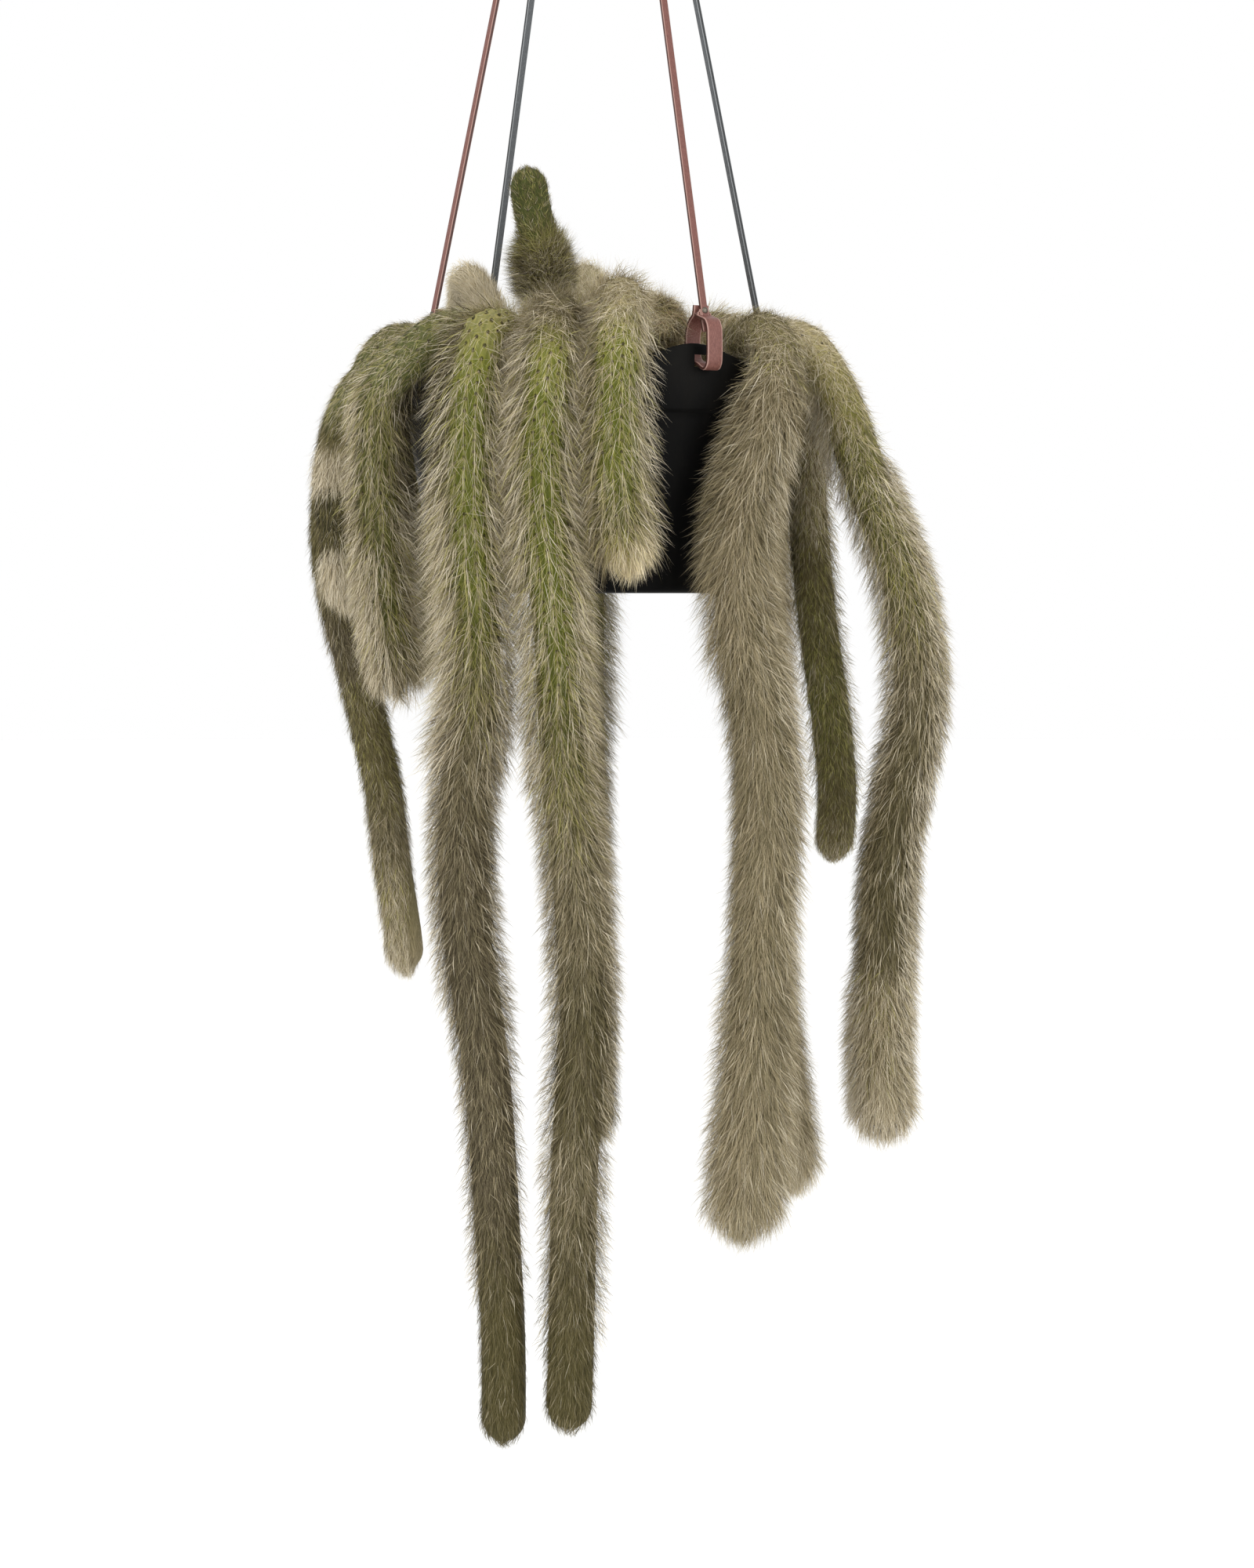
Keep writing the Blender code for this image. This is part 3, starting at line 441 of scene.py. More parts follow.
# ---------------------------------------------------------------- light and floor
scene.view_settings.view_transform = "Standard"
scene.view_settings.look = "None"
world = bpy.data.worlds.new("studio")
world.use_nodes = True
world.node_tree.nodes["Background"].inputs["Color"].default_value = (1.0, 1.0, 1.0, 1)
world.node_tree.nodes["Background"].inputs["Strength"].default_value = 1.0
scene.world = world


def area_light(name, place, towards, size, power, colour=(1, 1, 1)):
    data = bpy.data.lights.new(name, "AREA")
    data.shape, data.size, data.energy, data.color = "DISK", size, power, colour
    obj = bpy.data.objects.new(name, data)
    obj.location = place
    obj.rotation_euler = (Vector(place) - Vector(towards)).to_track_quat("Z", "Y").to_euler()
    scene.collection.objects.link(obj)


sun = bpy.data.lights.new("soft_key", "SUN")
sun.energy, sun.angle, sun.color = 0.66, math.radians(40), (1.0, 0.985, 0.955)
sun_lamp = bpy.data.objects.new("soft_key", sun)
sun_lamp.rotation_euler = Vector((-0.28, -1.15, 0.80)).to_track_quat("Z", "Y").to_euler()
scene.collection.objects.link(sun_lamp)
area_light("key", (-1.5, -2.4, 0.458), (0, 0, -0.692), 1.3, 18, (1.0, 0.985, 0.96))
area_light("fill", (2.2, -1.6, -0.042), (0, 0, -0.642), 1.6, 15, (1.0, 0.99, 0.965))

floor_look = Look("floor_pale", roughness=0.85, specular=0.2)
floor_spot = floor_look.noise(floor_look.place(), 3.0)
floor_look.to("Base Color", floor_look.ramp(floor_spot, [(0.3, linear(250, 250, 250)), (0.7, linear(253, 253, 253))]))
bpy.ops.mesh.primitive_circle_add(vertices=128, radius=14, fill_type="NGON", location=(0, 0, FLOOR_Z))
floor = bpy.context.object
floor.name = "floor"
floor.data.materials.append(floor_look.mat)

# ---------------------------------------------------------------- materials of the made things
plastic = Look("pot_black_plastic", roughness=0.42, specular=0.06)
where = plastic.place()
tone = plastic.noise(where, 9.0, 5.0)
dust = plastic.noise(plastic.place((1, 1, 0.35)), 42.0, 6.0, 0.65)
speck = plastic.noise(where, 900.0, 2.0)
shell = plastic.ramp(tone, [(0.3, linear(6, 6, 6)), (0.7, linear(12, 12, 12))])
dusty = plastic.span(plastic.math("MULTIPLY", dust, tone), 0.26, 0.48, 0.0, 0.05)
plastic.to("Base Color", plastic.mix(dusty, shell, linear(96, 90, 80)))
plastic.to("Roughness", plastic.span(dust, 0.35, 0.7, 0.4, 0.58))
plastic.bump(plastic.math("ADD", plastic.math("MULTIPLY", speck, 0.35), tone), 0.25, 0.0006)


def leather(name, dark, mid, light, pale_line, edge):
    """Strap leather: pressed grain, soft long streaks, a pale line beside each cut edge, and cut edges darkened as
    painted shade of the strap's narrow sides.
    """
    look = Look(name, roughness=0.5, specular=0.4)
    uv = look.node("ShaderNodeUVMap", uv_map="strap_map").outputs[0]
    split = look.node("ShaderNodeSeparateXYZ", {0: uv})
    across, along = split.outputs[0], split.outputs[1]
    spot = look.node("ShaderNodeCombineXYZ", {0: look.math("MULTIPLY", across, 3.0), 1: look.math("MULTIPLY", along, 0.6)}).outputs[0]
    streak = look.noise(spot, 9.0, 5.0, 0.6, 0.3)
    grain = look.node("ShaderNodeTexVoronoi", {"Vector": look.place(), "Scale": 1500.0}).outputs["Distance"]
    body = look.ramp(streak, [(0.28, dark), (0.5, mid), (0.74, light)])
    body = look.mix(look.span(grain, 0.0, 0.6, 0.22, 0.0), body, dark)
    side = look.math("ABSOLUTE", look.math("SUBTRACT", across, 0.5))
    body = look.mix(look.math("MULTIPLY", look.span(side, 0.40, 0.45), look.span(side, 0.475, 0.495, 0.75, 0.0)), body, pale_line)
    # cut edges drawn towards the edge colour: painted shade of the strap's sides
    body = look.mix(look.span(side, 0.48, 0.5, 0.0, 0.85), body, edge)
    look.to("Base Color", body)
    look.to("Roughness", look.span(streak, 0.3, 0.7, 0.4, 0.62))
    look.bump(look.math("ADD", look.math("MULTIPLY", grain, -0.5), look.math("MULTIPLY", streak, 0.6)), 0.5, 0.0003)
    return look.mat


# the last colour of each strap is the painted shade of its cut edges
BROWN_LEATHER = leather("strap_red_brown", linear(80, 46, 40), linear(112, 70, 62), linear(142, 98, 89), linear(182, 148, 137), linear(54, 31, 27))
GREY_LEATHER = leather("strap_grey", linear(50, 53, 55), linear(80, 83, 86), linear(116, 120, 123), linear(158, 161, 163), linear(30, 32, 34))

metal = Look("hanger_metal", roughness=0.34, metallic=1.0)
where = metal.place((1, 1, 0.2))
drawn = metal.noise(where, 260.0, 4.0, 0.6)
stain = metal.noise(metal.place(), 70.0, 4.0)
metal.to("Base Color", metal.mix(metal.span(stain, 0.5, 0.75, 0.0, 0.6), metal.ramp(drawn, [(0.3, linear(84, 78, 70)), (0.7, linear(118, 111, 101))]), linear(56, 46, 38)))
metal.to("Roughness", metal.span(stain, 0.35, 0.7, 0.26, 0.5))
metal.bump(drawn, 0.3, 0.0001)

earth = Look("potting_soil", roughness=0.95, specular=0.2)
where = earth.place()
clod = earth.noise(where, 160.0, 6.0, 0.65)
fibre = earth.noise(earth.place((1, 3, 1)), 420.0, 3.0)
base = earth.ramp(clod, [(0.28, linear(28, 20, 15)), (0.5, linear(58, 43, 32)), (0.74, linear(98, 78, 58))])
earth.to("Base Color", earth.mix(earth.span(fibre, 0.62, 0.8, 0.0, 0.7), base, linear(134, 112, 84)))
earth.bump(earth.math("ADD", clod, earth.math("MULTIPLY", fibre, 0.4)), 0.8, 0.0015)

grit = Look("pale_grit", roughness=0.9, specular=0.25)
grain = grit.noise(grit.place(), 700.0, 4.0)
grit.to("Base Color", grit.ramp(grain, [(0.3, linear(150, 142, 126)), (0.7, linear(208, 203, 190))]))
grit.bump(grain, 0.6, 0.0005)

# ---------------------------------------------------------------- pot
AROUND = 144


def pot_profile():
    """The pot's section from the floor's centre inside, over the lip and down the outside."""
    out = [(0.004, BASE_Z + FLOOR_T), (POT_BASE_R - POT_WALL - 0.0045, BASE_Z + FLOOR_T),
           (POT_BASE_R - POT_WALL - 0.0012, BASE_Z + FLOOR_T + 0.0012), (POT_BASE_R - POT_WALL, BASE_Z + FLOOR_T + 0.0045)]
    inner_top = (POT_BAND_R - POT_WALL, RIM_Z - POT_BAND - 0.001)
    for t in (0.25, 0.5, 0.75, 1.0):
        out.append((out[3][0] + (inner_top[0] - out[3][0]) * t, out[3][1] + (inner_top[1] - out[3][1]) * t))
    r_in, r_out = POT_RIM_R - POT_WALL, POT_RIM_R
    out += [(r_in - 0.0006, RIM_Z - POT_BAND + 0.0018), (r_in, RIM_Z - 0.0101), (r_in, RIM_Z - 0.006), (r_in, RIM_Z - 0.0016)]
    for k in range(1, 8):  # the rounded lip
        a = math.pi * (1 - k / 8)
        out.append(((r_in + r_out) / 2 + math.cos(a) * POT_WALL / 2, RIM_Z - 0.0010 + 0.0010 * math.sin(a)))
    out += [(r_out, RIM_Z - 0.0016), (r_out, RIM_Z - 0.006), (r_out, RIM_Z - 0.0101), (r_out - 0.0002, RIM_Z - 0.016),
            (r_out - 0.0005, RIM_Z - POT_BAND + 0.0022), (r_out - 0.0010, RIM_Z - POT_BAND + 0.0011),
            (POT_BAND_R + 0.0004, RIM_Z - POT_BAND + 0.0002), (POT_BAND_R - 0.0001, RIM_Z - POT_BAND - 0.0006)]
    low = (POT_BASE_R + 0.0006, BASE_Z + 0.004)
    high = out[-1]
    for t in (0.04, 0.12, 0.3, 0.5, 0.7, 0.86, 0.96, 1.0):
        out.append((high[0] + (low[0] - high[0]) * t, high[1] + (low[1] - high[1]) * t))
    out += [(POT_BASE_R - 0.0002, BASE_Z + 0.0018), (POT_BASE_R - 0.0016, BASE_Z + 0.0005), (POT_BASE_R - 0.0036, BASE_Z),
            (POT_BASE_R - 0.0075, BASE_Z), (POT_BASE_R - 0.0088, BASE_Z + 0.0006), (0.004, BASE_Z + 0.0006)]
    return out


profile = pot_profile()
verts = []
azimuths = np.arange(AROUND) / AROUND * 360
rises = [ear(a) for a in azimuths]
for az, rise in zip(azimuths, rises):
    out, _ = outward(az)
    for r, z in profile:
        depth_shade = rise * min(1.0, max(0.0, (z - (RIM_Z - 0.0101)) / (0.0101 - 0.0010)))
        verts.append((out[0] * r, out[1] * r, z + depth_shade))
n = len(profile)
faces = []
for k in range(AROUND):
    a, b = k * n, ((k + 1) % AROUND) * n
    for j in range(n - 1):
        faces.append((a + j, b + j, b + j + 1, a + j + 1))
faces.append(tuple(k * n for k in range(AROUND)))
faces.append(tuple(k * n + n - 1 for k in range(AROUND))[::-1])
pot = face_out(mesh_object("pot_moulded", verts, faces, plastic.mat))
tools = []


def cutter(obj):
    obj.hide_render = obj.hide_viewport = True
    tools.append(obj)
    mod = pot.modifiers.new("cut", "BOOLEAN")
    mod.operation, mod.object, mod.solver = "DIFFERENCE", obj, "EXACT"


for az in STRAP_AZ.values():
    out, side = outward(az)
    bpy.ops.mesh.primitive_cube_add(size=1, location=out * (POT_RIM_R - POT_WALL / 2) + np.array([0, 0, RIM_Z + (SLOT_LOW + SLOT_HIGH) / 2]))
    tool = bpy.context.object
    tool.rotation_euler = (0, 0, math.radians(az))
    tool.scale = (SLOT_WIDTH, 0.012, SLOT_HIGH - SLOT_LOW)
    cutter(tool)
for k in range(DRAIN_COUNT):
    a = 2 * math.pi * (k + 0.5) / DRAIN_COUNT
    bpy.ops.mesh.primitive_cylinder_add(vertices=32, radius=DRAIN_R, depth=0.012, location=(DRAIN_RING_R * math.cos(a), DRAIN_RING_R * math.sin(a), BASE_Z))
    cutter(bpy.context.object)
bpy.context.view_layer.update()
cut = bpy.data.meshes.new_from_object(pot.evaluated_get(bpy.context.evaluated_depsgraph_get()))
pot.modifiers.clear()
pot.data = cut
for tool in tools:
    bpy.data.objects.remove(tool, do_unlink=True)
cut.shade_smooth()
cut.set_sharp_from_angle(angle=math.radians(42))
stands_for(pot, "pot", slot="black_plastic")

# ---------------------------------------------------------------- soil
rng = np.random.default_rng(11)
rings, spokes = 44, 132
waves = [(rng.uniform(60, 520), rng.uniform(0, 2 * math.pi), rng.uniform(0, 2 * math.pi)) for _ in range(26)]


def soil_height(x, y):
    z = 0.0
    for k, turn, phase in waves:
        z = z + np.sin((x * math.cos(turn) + y * math.sin(turn)) * k + phase) * 0.05 / (k + 60)
    return z


top_r = POT_RIM_R - POT_WALL - 0.0012 - GAP
verts, faces = [(0.0, 0.0, SOIL_Z + float(soil_height(0, 0)) - 0.0005)], []
for i in range(1, rings + 1):
    r = top_r * i / rings
    for j in range(spokes):
        a = 2 * math.pi * j / spokes
        x, y = r * math.cos(a), r * math.sin(a)
        fade = min(1.0, (rings - i) / 3)
        z = SOIL_Z + (float(soil_height(x, y)) * 1.3 + rng.normal(0, 0.0005)) * fade - 0.0005
        verts.append((x, y, z))
side = [(POT_RIM_R - POT_WALL - 0.0016 - GAP, SOIL_Z - 0.0040), (POT_BAND_R - POT_WALL - 0.0010 - GAP, RIM_Z - POT_BAND - 0.0012),
        (POT_BASE_R - POT_WALL - GAP, BASE_Z + FLOOR_T + 0.0050), (POT_BASE_R - POT_WALL - 0.0046 - GAP, BASE_Z + FLOOR_T + GAP)]
for r, z in side:
    for j in range(spokes):
        a = 2 * math.pi * j / spokes
        verts.append((r * math.cos(a), r * math.sin(a), z))
for j in range(spokes):
    faces.append((0, 1 + j, 1 + (j + 1) % spokes))
for i in range(rings - 1 + len(side)):
    for j in range(spokes):
        a, b = 1 + i * spokes + j, 1 + i * spokes + (j + 1) % spokes
        faces.append((a, a + spokes, b + spokes, b))
faces.append(tuple(1 + (rings - 1 + len(side)) * spokes + j for j in range(spokes))[::-1])
soil = face_out(mesh_object("soil_plug", verts, faces, earth.mat))
stands_for(soil, "soil", slot="potting_soil")


def crumbs(name, count, low, high, mat):
    """Loose lumps that lie half sunk in the soil's surface."""
    bm = bmesh.new()
    for _ in range(count):
        r, a = 0.097 * math.sqrt(rng.uniform()), rng.uniform(0, 2 * math.pi)
        x, y = r * math.cos(a), r * math.sin(a)
        size = rng.uniform(low, high)
        ball = bmesh.ops.create_icosphere(bm, subdivisions=1, radius=size)["verts"]
        stretch = rng.uniform(0.65, 1.25, 3)
        for v in ball:
            v.co = Vector([c * s for c, s in zip(v.co, stretch)]) * (1 + float(rng.normal(0, 0.12)))
            v.co += Vector((x, y, SOIL_Z + float(soil_height(x, y)) + size * 0.25))
    mesh = bpy.data.meshes.new(name)
    bm.to_mesh(mesh)
    bm.free()
    mesh.materials.append(mat)
    obj = bpy.data.objects.new(name, mesh)
    scene.collection.objects.link(obj)
    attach(obj, "root")


crumbs("soil_crumbs", 170, 0.0010, 0.0028, earth.mat)
crumbs("soil_grit", 40, 0.0009, 0.0020, grit.mat)

# ---------------------------------------------------------------- straps and rivets
RIVET_AT = LOOP_TOP - 0.0020


def strap(name, az, mat):
    """The lace widens into a band, goes through the ear's slot and comes back to the lace. Rounded, slightly domed section."""
    out, side = outward(az)
    key = np.array(loop_line())
    line = smooth_route(key[4:], 0.0016)
    lace = np.array([key[0] + (key[4] - key[0]) * t for t in np.linspace(0, 1, 14)[:-1]])
    line = np.vstack([lace, line])
    up = np.array([0.0, 0.0, 1.0])
    flat = line[:, :2]
    tangent = unit(np.gradient(flat, axis=0))
    run = np.concatenate([[0], np.cumsum(np.linalg.norm(np.diff(flat, axis=0), axis=1))])
    rows, widths, verts = len(line), [], []
    for (r, z, w), t in zip(line, tangent):
        w = min(1.0, max(0.0, w))
        face = out * t[1] - up * t[0]
        wide = (STRAP_LACE[0] + (STRAP_BAND[0] - STRAP_LACE[0]) * w) / 2
        thick = (STRAP_LACE[1] + (STRAP_BAND[1] - STRAP_LACE[1]) * w) / 2
        edge = min(thick * 0.6, wide * 0.32)
        outline = []
        for sx, sy in ((1, -1), (1, 1), (-1, 1), (-1, -1)):
            start = {(1, -1): -90, (1, 1): 0, (-1, 1): 90, (-1, -1): 180}[(sx, sy)]
            for k in range(4):
                a = math.radians(start + 30 * k)
                outline.append((sx * (wide - edge) + edge * math.cos(a), sy * (thick - edge) + edge * math.sin(a)))
        centre = out * r + up * (RIM_Z + z)
        verts += [centre + side * a + face * b for a, b in outline]
        widths.append([(a / wide + 1) / 2 for a, b in outline])
    faces, maps = [], []
    for k in range(rows - 1):
        for j in range(16):
            i = (j + 1) % 16
            faces.append((k * 16 + j, k * 16 + i, (k + 1) * 16 + i, (k + 1) * 16 + j))
            maps.append([(widths[k][j], run[k] * 100), (widths[k][i], run[k] * 100), (widths[k + 1][i], run[k + 1] * 100), (widths[k + 1][j], run[k + 1] * 100)])
    for k, order in ((0, range(15, -1, -1)), (rows - 1, range(16))):
        faces.append(tuple(k * 16 + j for j in order))
        maps.append([(widths[k][j], run[k] * 100) for j in order])
    obj = mesh_object(name + "_leather", verts, faces, mat)
    layer = obj.data.uv_layers.new(name="strap_map")
    layer.uv.foreach_set("vector", np.array([c for m in maps for c in m], np.float32).ravel())
    obj.data.set_sharp_from_angle(angle=math.radians(50))
    face_out(obj)
    stands_for(obj, name, slot="red_brown_strap" if "front" in name else "grey_strap")

    key = np.array(loop_line())
    lace_r = np.interp(RIVET_AT, key[5:8, 1][::-1], key[5:8, 0][::-1])
    tail_r = np.interp(RIVET_AT, key[-2:, 1], key[-2:, 0])
    middle = out * ((lace_r + tail_r) / 2) + up * (RIM_Z + RIVET_AT)
    half = (abs(lace_r - tail_r) + STRAP_BAND[1]) / 2 + 0.0007
    section = [(0.0, half + RIVET_HEAD_T)]
    for k in range(1, 6):
        a = math.radians(90 - 16 * k)
        section.append((RIVET_HEAD_R * math.cos(a), half + RIVET_HEAD_T * math.sin(a)))
    section += [(RIVET_HEAD_R, half), (RIVET_R, half), (RIVET_R, -half), (RIVET_HEAD_R, -half)]
    for k in range(5, 0, -1):
        a = math.radians(90 - 16 * k)
        section.append((RIVET_HEAD_R * math.cos(a), -half - RIVET_HEAD_T * math.sin(a)))
    section.append((0.0, -half - RIVET_HEAD_T))
    verts, faces, steps = [], [], 32
    for k in range(steps):
        a = 2 * math.pi * k / steps
        for r, h in section:
            verts.append(middle + side * r * math.cos(a) + up * r * math.sin(a) + out * h)
    m = len(section)
    for k in range(steps):
        for j in range(m - 1):
            a, b = k * m + j, ((k + 1) % steps) * m + j
            faces.append((a, b, b + 1, a + 1))
    rivet = mesh_object("rivet_" + name[6:] + "_domed", verts, faces, metal.mat)
    bm = bmesh.new()
    bm.from_mesh(rivet.data)
    bmesh.ops.remove_doubles(bm, verts=bm.verts, dist=1e-6)
    bmesh.ops.recalc_face_normals(bm, faces=bm.faces)
    bm.to_mesh(rivet.data)
    bm.free()
    rivet.data.set_sharp_from_angle(angle=math.radians(50))
    stands_for(rivet, "rivet_" + name[6:], slot="dark_metal")


for strap_name, azimuth in STRAP_AZ.items():
    strap(strap_name, azimuth, BROWN_LEATHER if "front" in strap_name else GREY_LEATHER)

# ---------------------------------------------------------------- cap and hook
cap_top = CAP_BOTTOM + CAP_HEIGHT


def turned(name, section, steps, mat, closed=False):
    verts, faces, m = [], [], len(section)
    for k in range(steps):
        a = 2 * math.pi * k / steps
        verts += [(r * math.cos(a), r * math.sin(a), z) for r, z in section]
    for k in range(steps):
        for j in range(m - 1 + closed):
            a, b = k * m, ((k + 1) % steps) * m
            faces.append((a + j, b + j, b + (j + 1) % m, a + (j + 1) % m))
    obj = mesh_object(name, verts, faces, mat)
    bm = bmesh.new()
    bm.from_mesh(obj.data)
    bmesh.ops.remove_doubles(bm, verts=bm.verts, dist=1e-6)
    bmesh.ops.recalc_face_normals(bm, faces=bm.faces)
    bm.to_mesh(obj.data)
    bm.free()
    obj.data.set_sharp_from_angle(angle=math.radians(50))
    return obj


cap = turned("hanger_cap_rolled", [
    (CAP_INNER_R - 0.0001, CAP_BOTTOM), (CAP_INNER_R, CAP_BOTTOM + 0.001), (CAP_INNER_R, cap_top - 0.0040),
    (CAP_INNER_R - 0.0012, cap_top - 0.0028), (HOOK_WIRE_R + GAP, cap_top - 0.0028), (HOOK_WIRE_R + GAP, cap_top),
    (CAP_R * 0.5, cap_top), (CAP_R * 0.78, cap_top - 0.0005), (CAP_R * 0.92, cap_top - 0.0016), (CAP_R * 0.985, cap_top - 0.0030),
    (CAP_R, cap_top - 0.0046), (CAP_R, CAP_BOTTOM + 0.0052), (CAP_R - 0.0004, CAP_BOTTOM + 0.0046), (CAP_R - 0.0004, CAP_BOTTOM + 0.0036),
    (CAP_R, CAP_BOTTOM + 0.0030), (CAP_R, CAP_BOTTOM + 0.0008), (CAP_R - 0.0004, CAP_BOTTOM)], 72, metal.mat, closed=True)
stands_for(cap, "hanger_cap", slot="dark_metal")

crook = HOOK_CROOK_R + HOOK_WIRE_R
head_top = cap_top - 0.0028 - GAP
route = [(0, head_top - 0.0012), (0, head_top + 0.0045), (0, head_top + 0.0100), (0, -0.0330)]
for k in range(1, 5):
    a = k / 5
    route.append((-crook * (3 * a**2 - 2 * a**3) * 0.96, -0.0330 + 0.0160 * a))
for k in range(0, 15):
    a = math.radians(186 - 215 * k / 14)
    route.append((crook * math.cos(a), -HOOK_CROOK_R + crook * math.sin(a)))
line = smooth_route(np.array([(x, 0, z) for x, z in route], float), 0.0016)
tangents = unit(np.gradient(line, axis=0))
verts, faces, steps = [], [], 20
for k, (p, t) in enumerate(zip(line, tangents)):
    across = np.array([0.0, 1.0, 0.0])
    normal = np.cross(across, t)
    from_end = np.linalg.norm(line[-1] - p)
    r = HOOK_WIRE_R * (1.0 if from_end > HOOK_WIRE_R else math.sqrt(max(0.05, 1 - (1 - from_end / HOOK_WIRE_R) ** 2)))
    for j in range(steps):
        a = 2 * math.pi * j / steps
        verts.append(p + across * r * math.cos(a) + normal * r * math.sin(a))
for k in range(len(line) - 1):
    for j in range(steps):
        a, b = k * steps + j, k * steps + (j + 1) % steps
        faces.append((a, b, b + steps, a + steps))
faces.append(tuple(range(steps))[::-1])
faces.append(tuple((len(line) - 1) * steps + j for j in range(steps)))
hook = face_out(mesh_object("hook_wire", verts, faces, metal.mat))
head = turned("hook_head", [(0.0, head_top), (0.0044, head_top), (0.0050, head_top - 0.0005), (0.0050, head_top - 0.0020), (0.0044, head_top - 0.0026), (0.0, head_top - 0.0026)], 40, metal.mat)
head.parent = hook
stands_for(hook, "hook", slot="dark_metal")

# ---------------------------------------------------------------- the stems' coats
# Hair colours by family: three shades at the root, then the same three at the tip. The darker roots are partly the
# hairs' own colour and partly painted shade deep in the coat; family A, the darkest, colours the areoles and also gives
# painted shade in the darkest coats.
FAMILIES = {
    "G": [(96, 97, 34), (114, 115, 44), (136, 134, 60), (158, 152, 78), (186, 177, 106), (212, 203, 142)],
    "O": [(66, 61, 38), (80, 74, 48), (96, 88, 60), (118, 109, 78), (142, 131, 98), (172, 160, 126)],
    "E": [(56, 52, 24), (68, 63, 31), (79, 73, 38), (92, 84, 49), (108, 98, 62), (130, 119, 83)],
    "B": [(54, 47, 32), (67, 59, 41), (82, 73, 51), (97, 87, 64), (115, 104, 79), (142, 130, 103)],
    "T": [(98, 87, 60), (116, 104, 75), (134, 121, 90), (156, 142, 110), (180, 166, 132), (208, 194, 161)],
    "C": [(138, 127, 98), (158, 146, 116), (178, 166, 136), (202, 189, 160), (220, 208, 181), (240, 231, 210)],
    "D": [(66, 61, 31), (80, 73, 39), (94, 86, 49), (106, 97, 58), (122, 112, 71), (144, 133, 92)],
    "Y": [(146, 128, 76), (172, 152, 96), (196, 176, 122), (222, 203, 156), (240, 224, 184), (250, 241, 216)],
    "R": [(92, 68, 41), (110, 84, 53), (128, 100, 66), (148, 119, 82), (172, 143, 104), (200, 173, 138)],
    "A": [(32, 27, 16), (40, 33, 20), (50, 42, 26), (58, 50, 32), (70, 61, 40), (84, 74, 50)],
}
ORDER = list(FAMILIES)
SHADES = 3 * len(ORDER)
# A coat: shares of the hair families, and the skin or felt that shows between the hairs.
COATS = {
    "bright": ({"G": 0.52, "C": 0.24, "T": 0.24}, (90, 95, 30)),
    "glow": ({"G": 0.42, "C": 0.40, "Y": 0.10, "T": 0.08}, (124, 126, 56)),
    "green": ({"G": 0.30, "O": 0.30, "C": 0.10, "T": 0.30}, (78, 78, 34)),
    "grey": ({"O": 0.54, "T": 0.28, "C": 0.08, "B": 0.10}, (78, 71, 48)),
    "brown": ({"B": 0.62, "O": 0.26, "T": 0.12}, (68, 60, 42)),
    "tan": ({"T": 0.66, "C": 0.12, "O": 0.22}, (108, 96, 70)),
    "olive": ({"E": 0.48, "O": 0.28, "B": 0.24}, (70, 64, 38)),
    "leaf": ({"E": 0.84, "O": 0.16}, (74, 68, 35)),
    "dark": ({"D": 0.84, "E": 0.16}, (70, 66, 34)),
    "moss": ({"D": 0.42, "G": 0.44, "O": 0.14}, (84, 85, 40)),
    "cream": ({"C": 0.80, "T": 0.20}, (152, 140, 111)),
    "yolk": ({"Y": 0.80, "C": 0.20}, (176, 155, 100)),
    "mound": ({"T": 0.48, "O": 0.14, "C": 0.30, "G": 0.08}, (106, 95, 66)),
    "crown": ({"T": 0.12, "C": 0.70, "G": 0.10, "Y": 0.08}, (164, 152, 114)),
    "hay": ({"T": 0.34, "O": 0.14, "C": 0.36, "G": 0.16}, (120, 111, 76)),
    "straw": ({"T": 0.36, "Y": 0.14, "G": 0.30, "C": 0.20}, (118, 112, 60)),
    "patch": ({"D": 0.55, "A": 0.45}, (52, 50, 20)),
    # painted shadow: the near-black skin and the darkest hairs of this coat stand for the shade between its pale
    # radiating hairs
    "shaded_tuft": ({"D": 0.30, "A": 0.36, "G": 0.14, "C": 0.20}, (38, 37, 16)),
    "shadow": ({"A": 0.90, "B": 0.10}, (34, 30, 18)),
    "sward": ({"G": 0.34, "D": 0.14, "T": 0.22, "C": 0.30}, (86, 90, 50)),
    "pale": ({"C": 0.90, "Y": 0.10}, (186, 174, 146)),
    "fresh": ({"D": 0.46, "E": 0.30, "G": 0.24}, (68, 74, 30)),
    "drop": ({"D": 0.52, "O": 0.34, "G": 0.14}, (88, 80, 48)),
    "fawn": ({"T": 0.50, "C": 0.06, "O": 0.44}, (98, 87, 62)),
    "rust": ({"R": 0.60, "T": 0.30, "C": 0.10}, (112, 85, 54)),
    "blond": ({"T": 0.40, "Y": 0.20, "C": 0.16, "R": 0.12, "G": 0.12}, (112, 99, 58)),
}

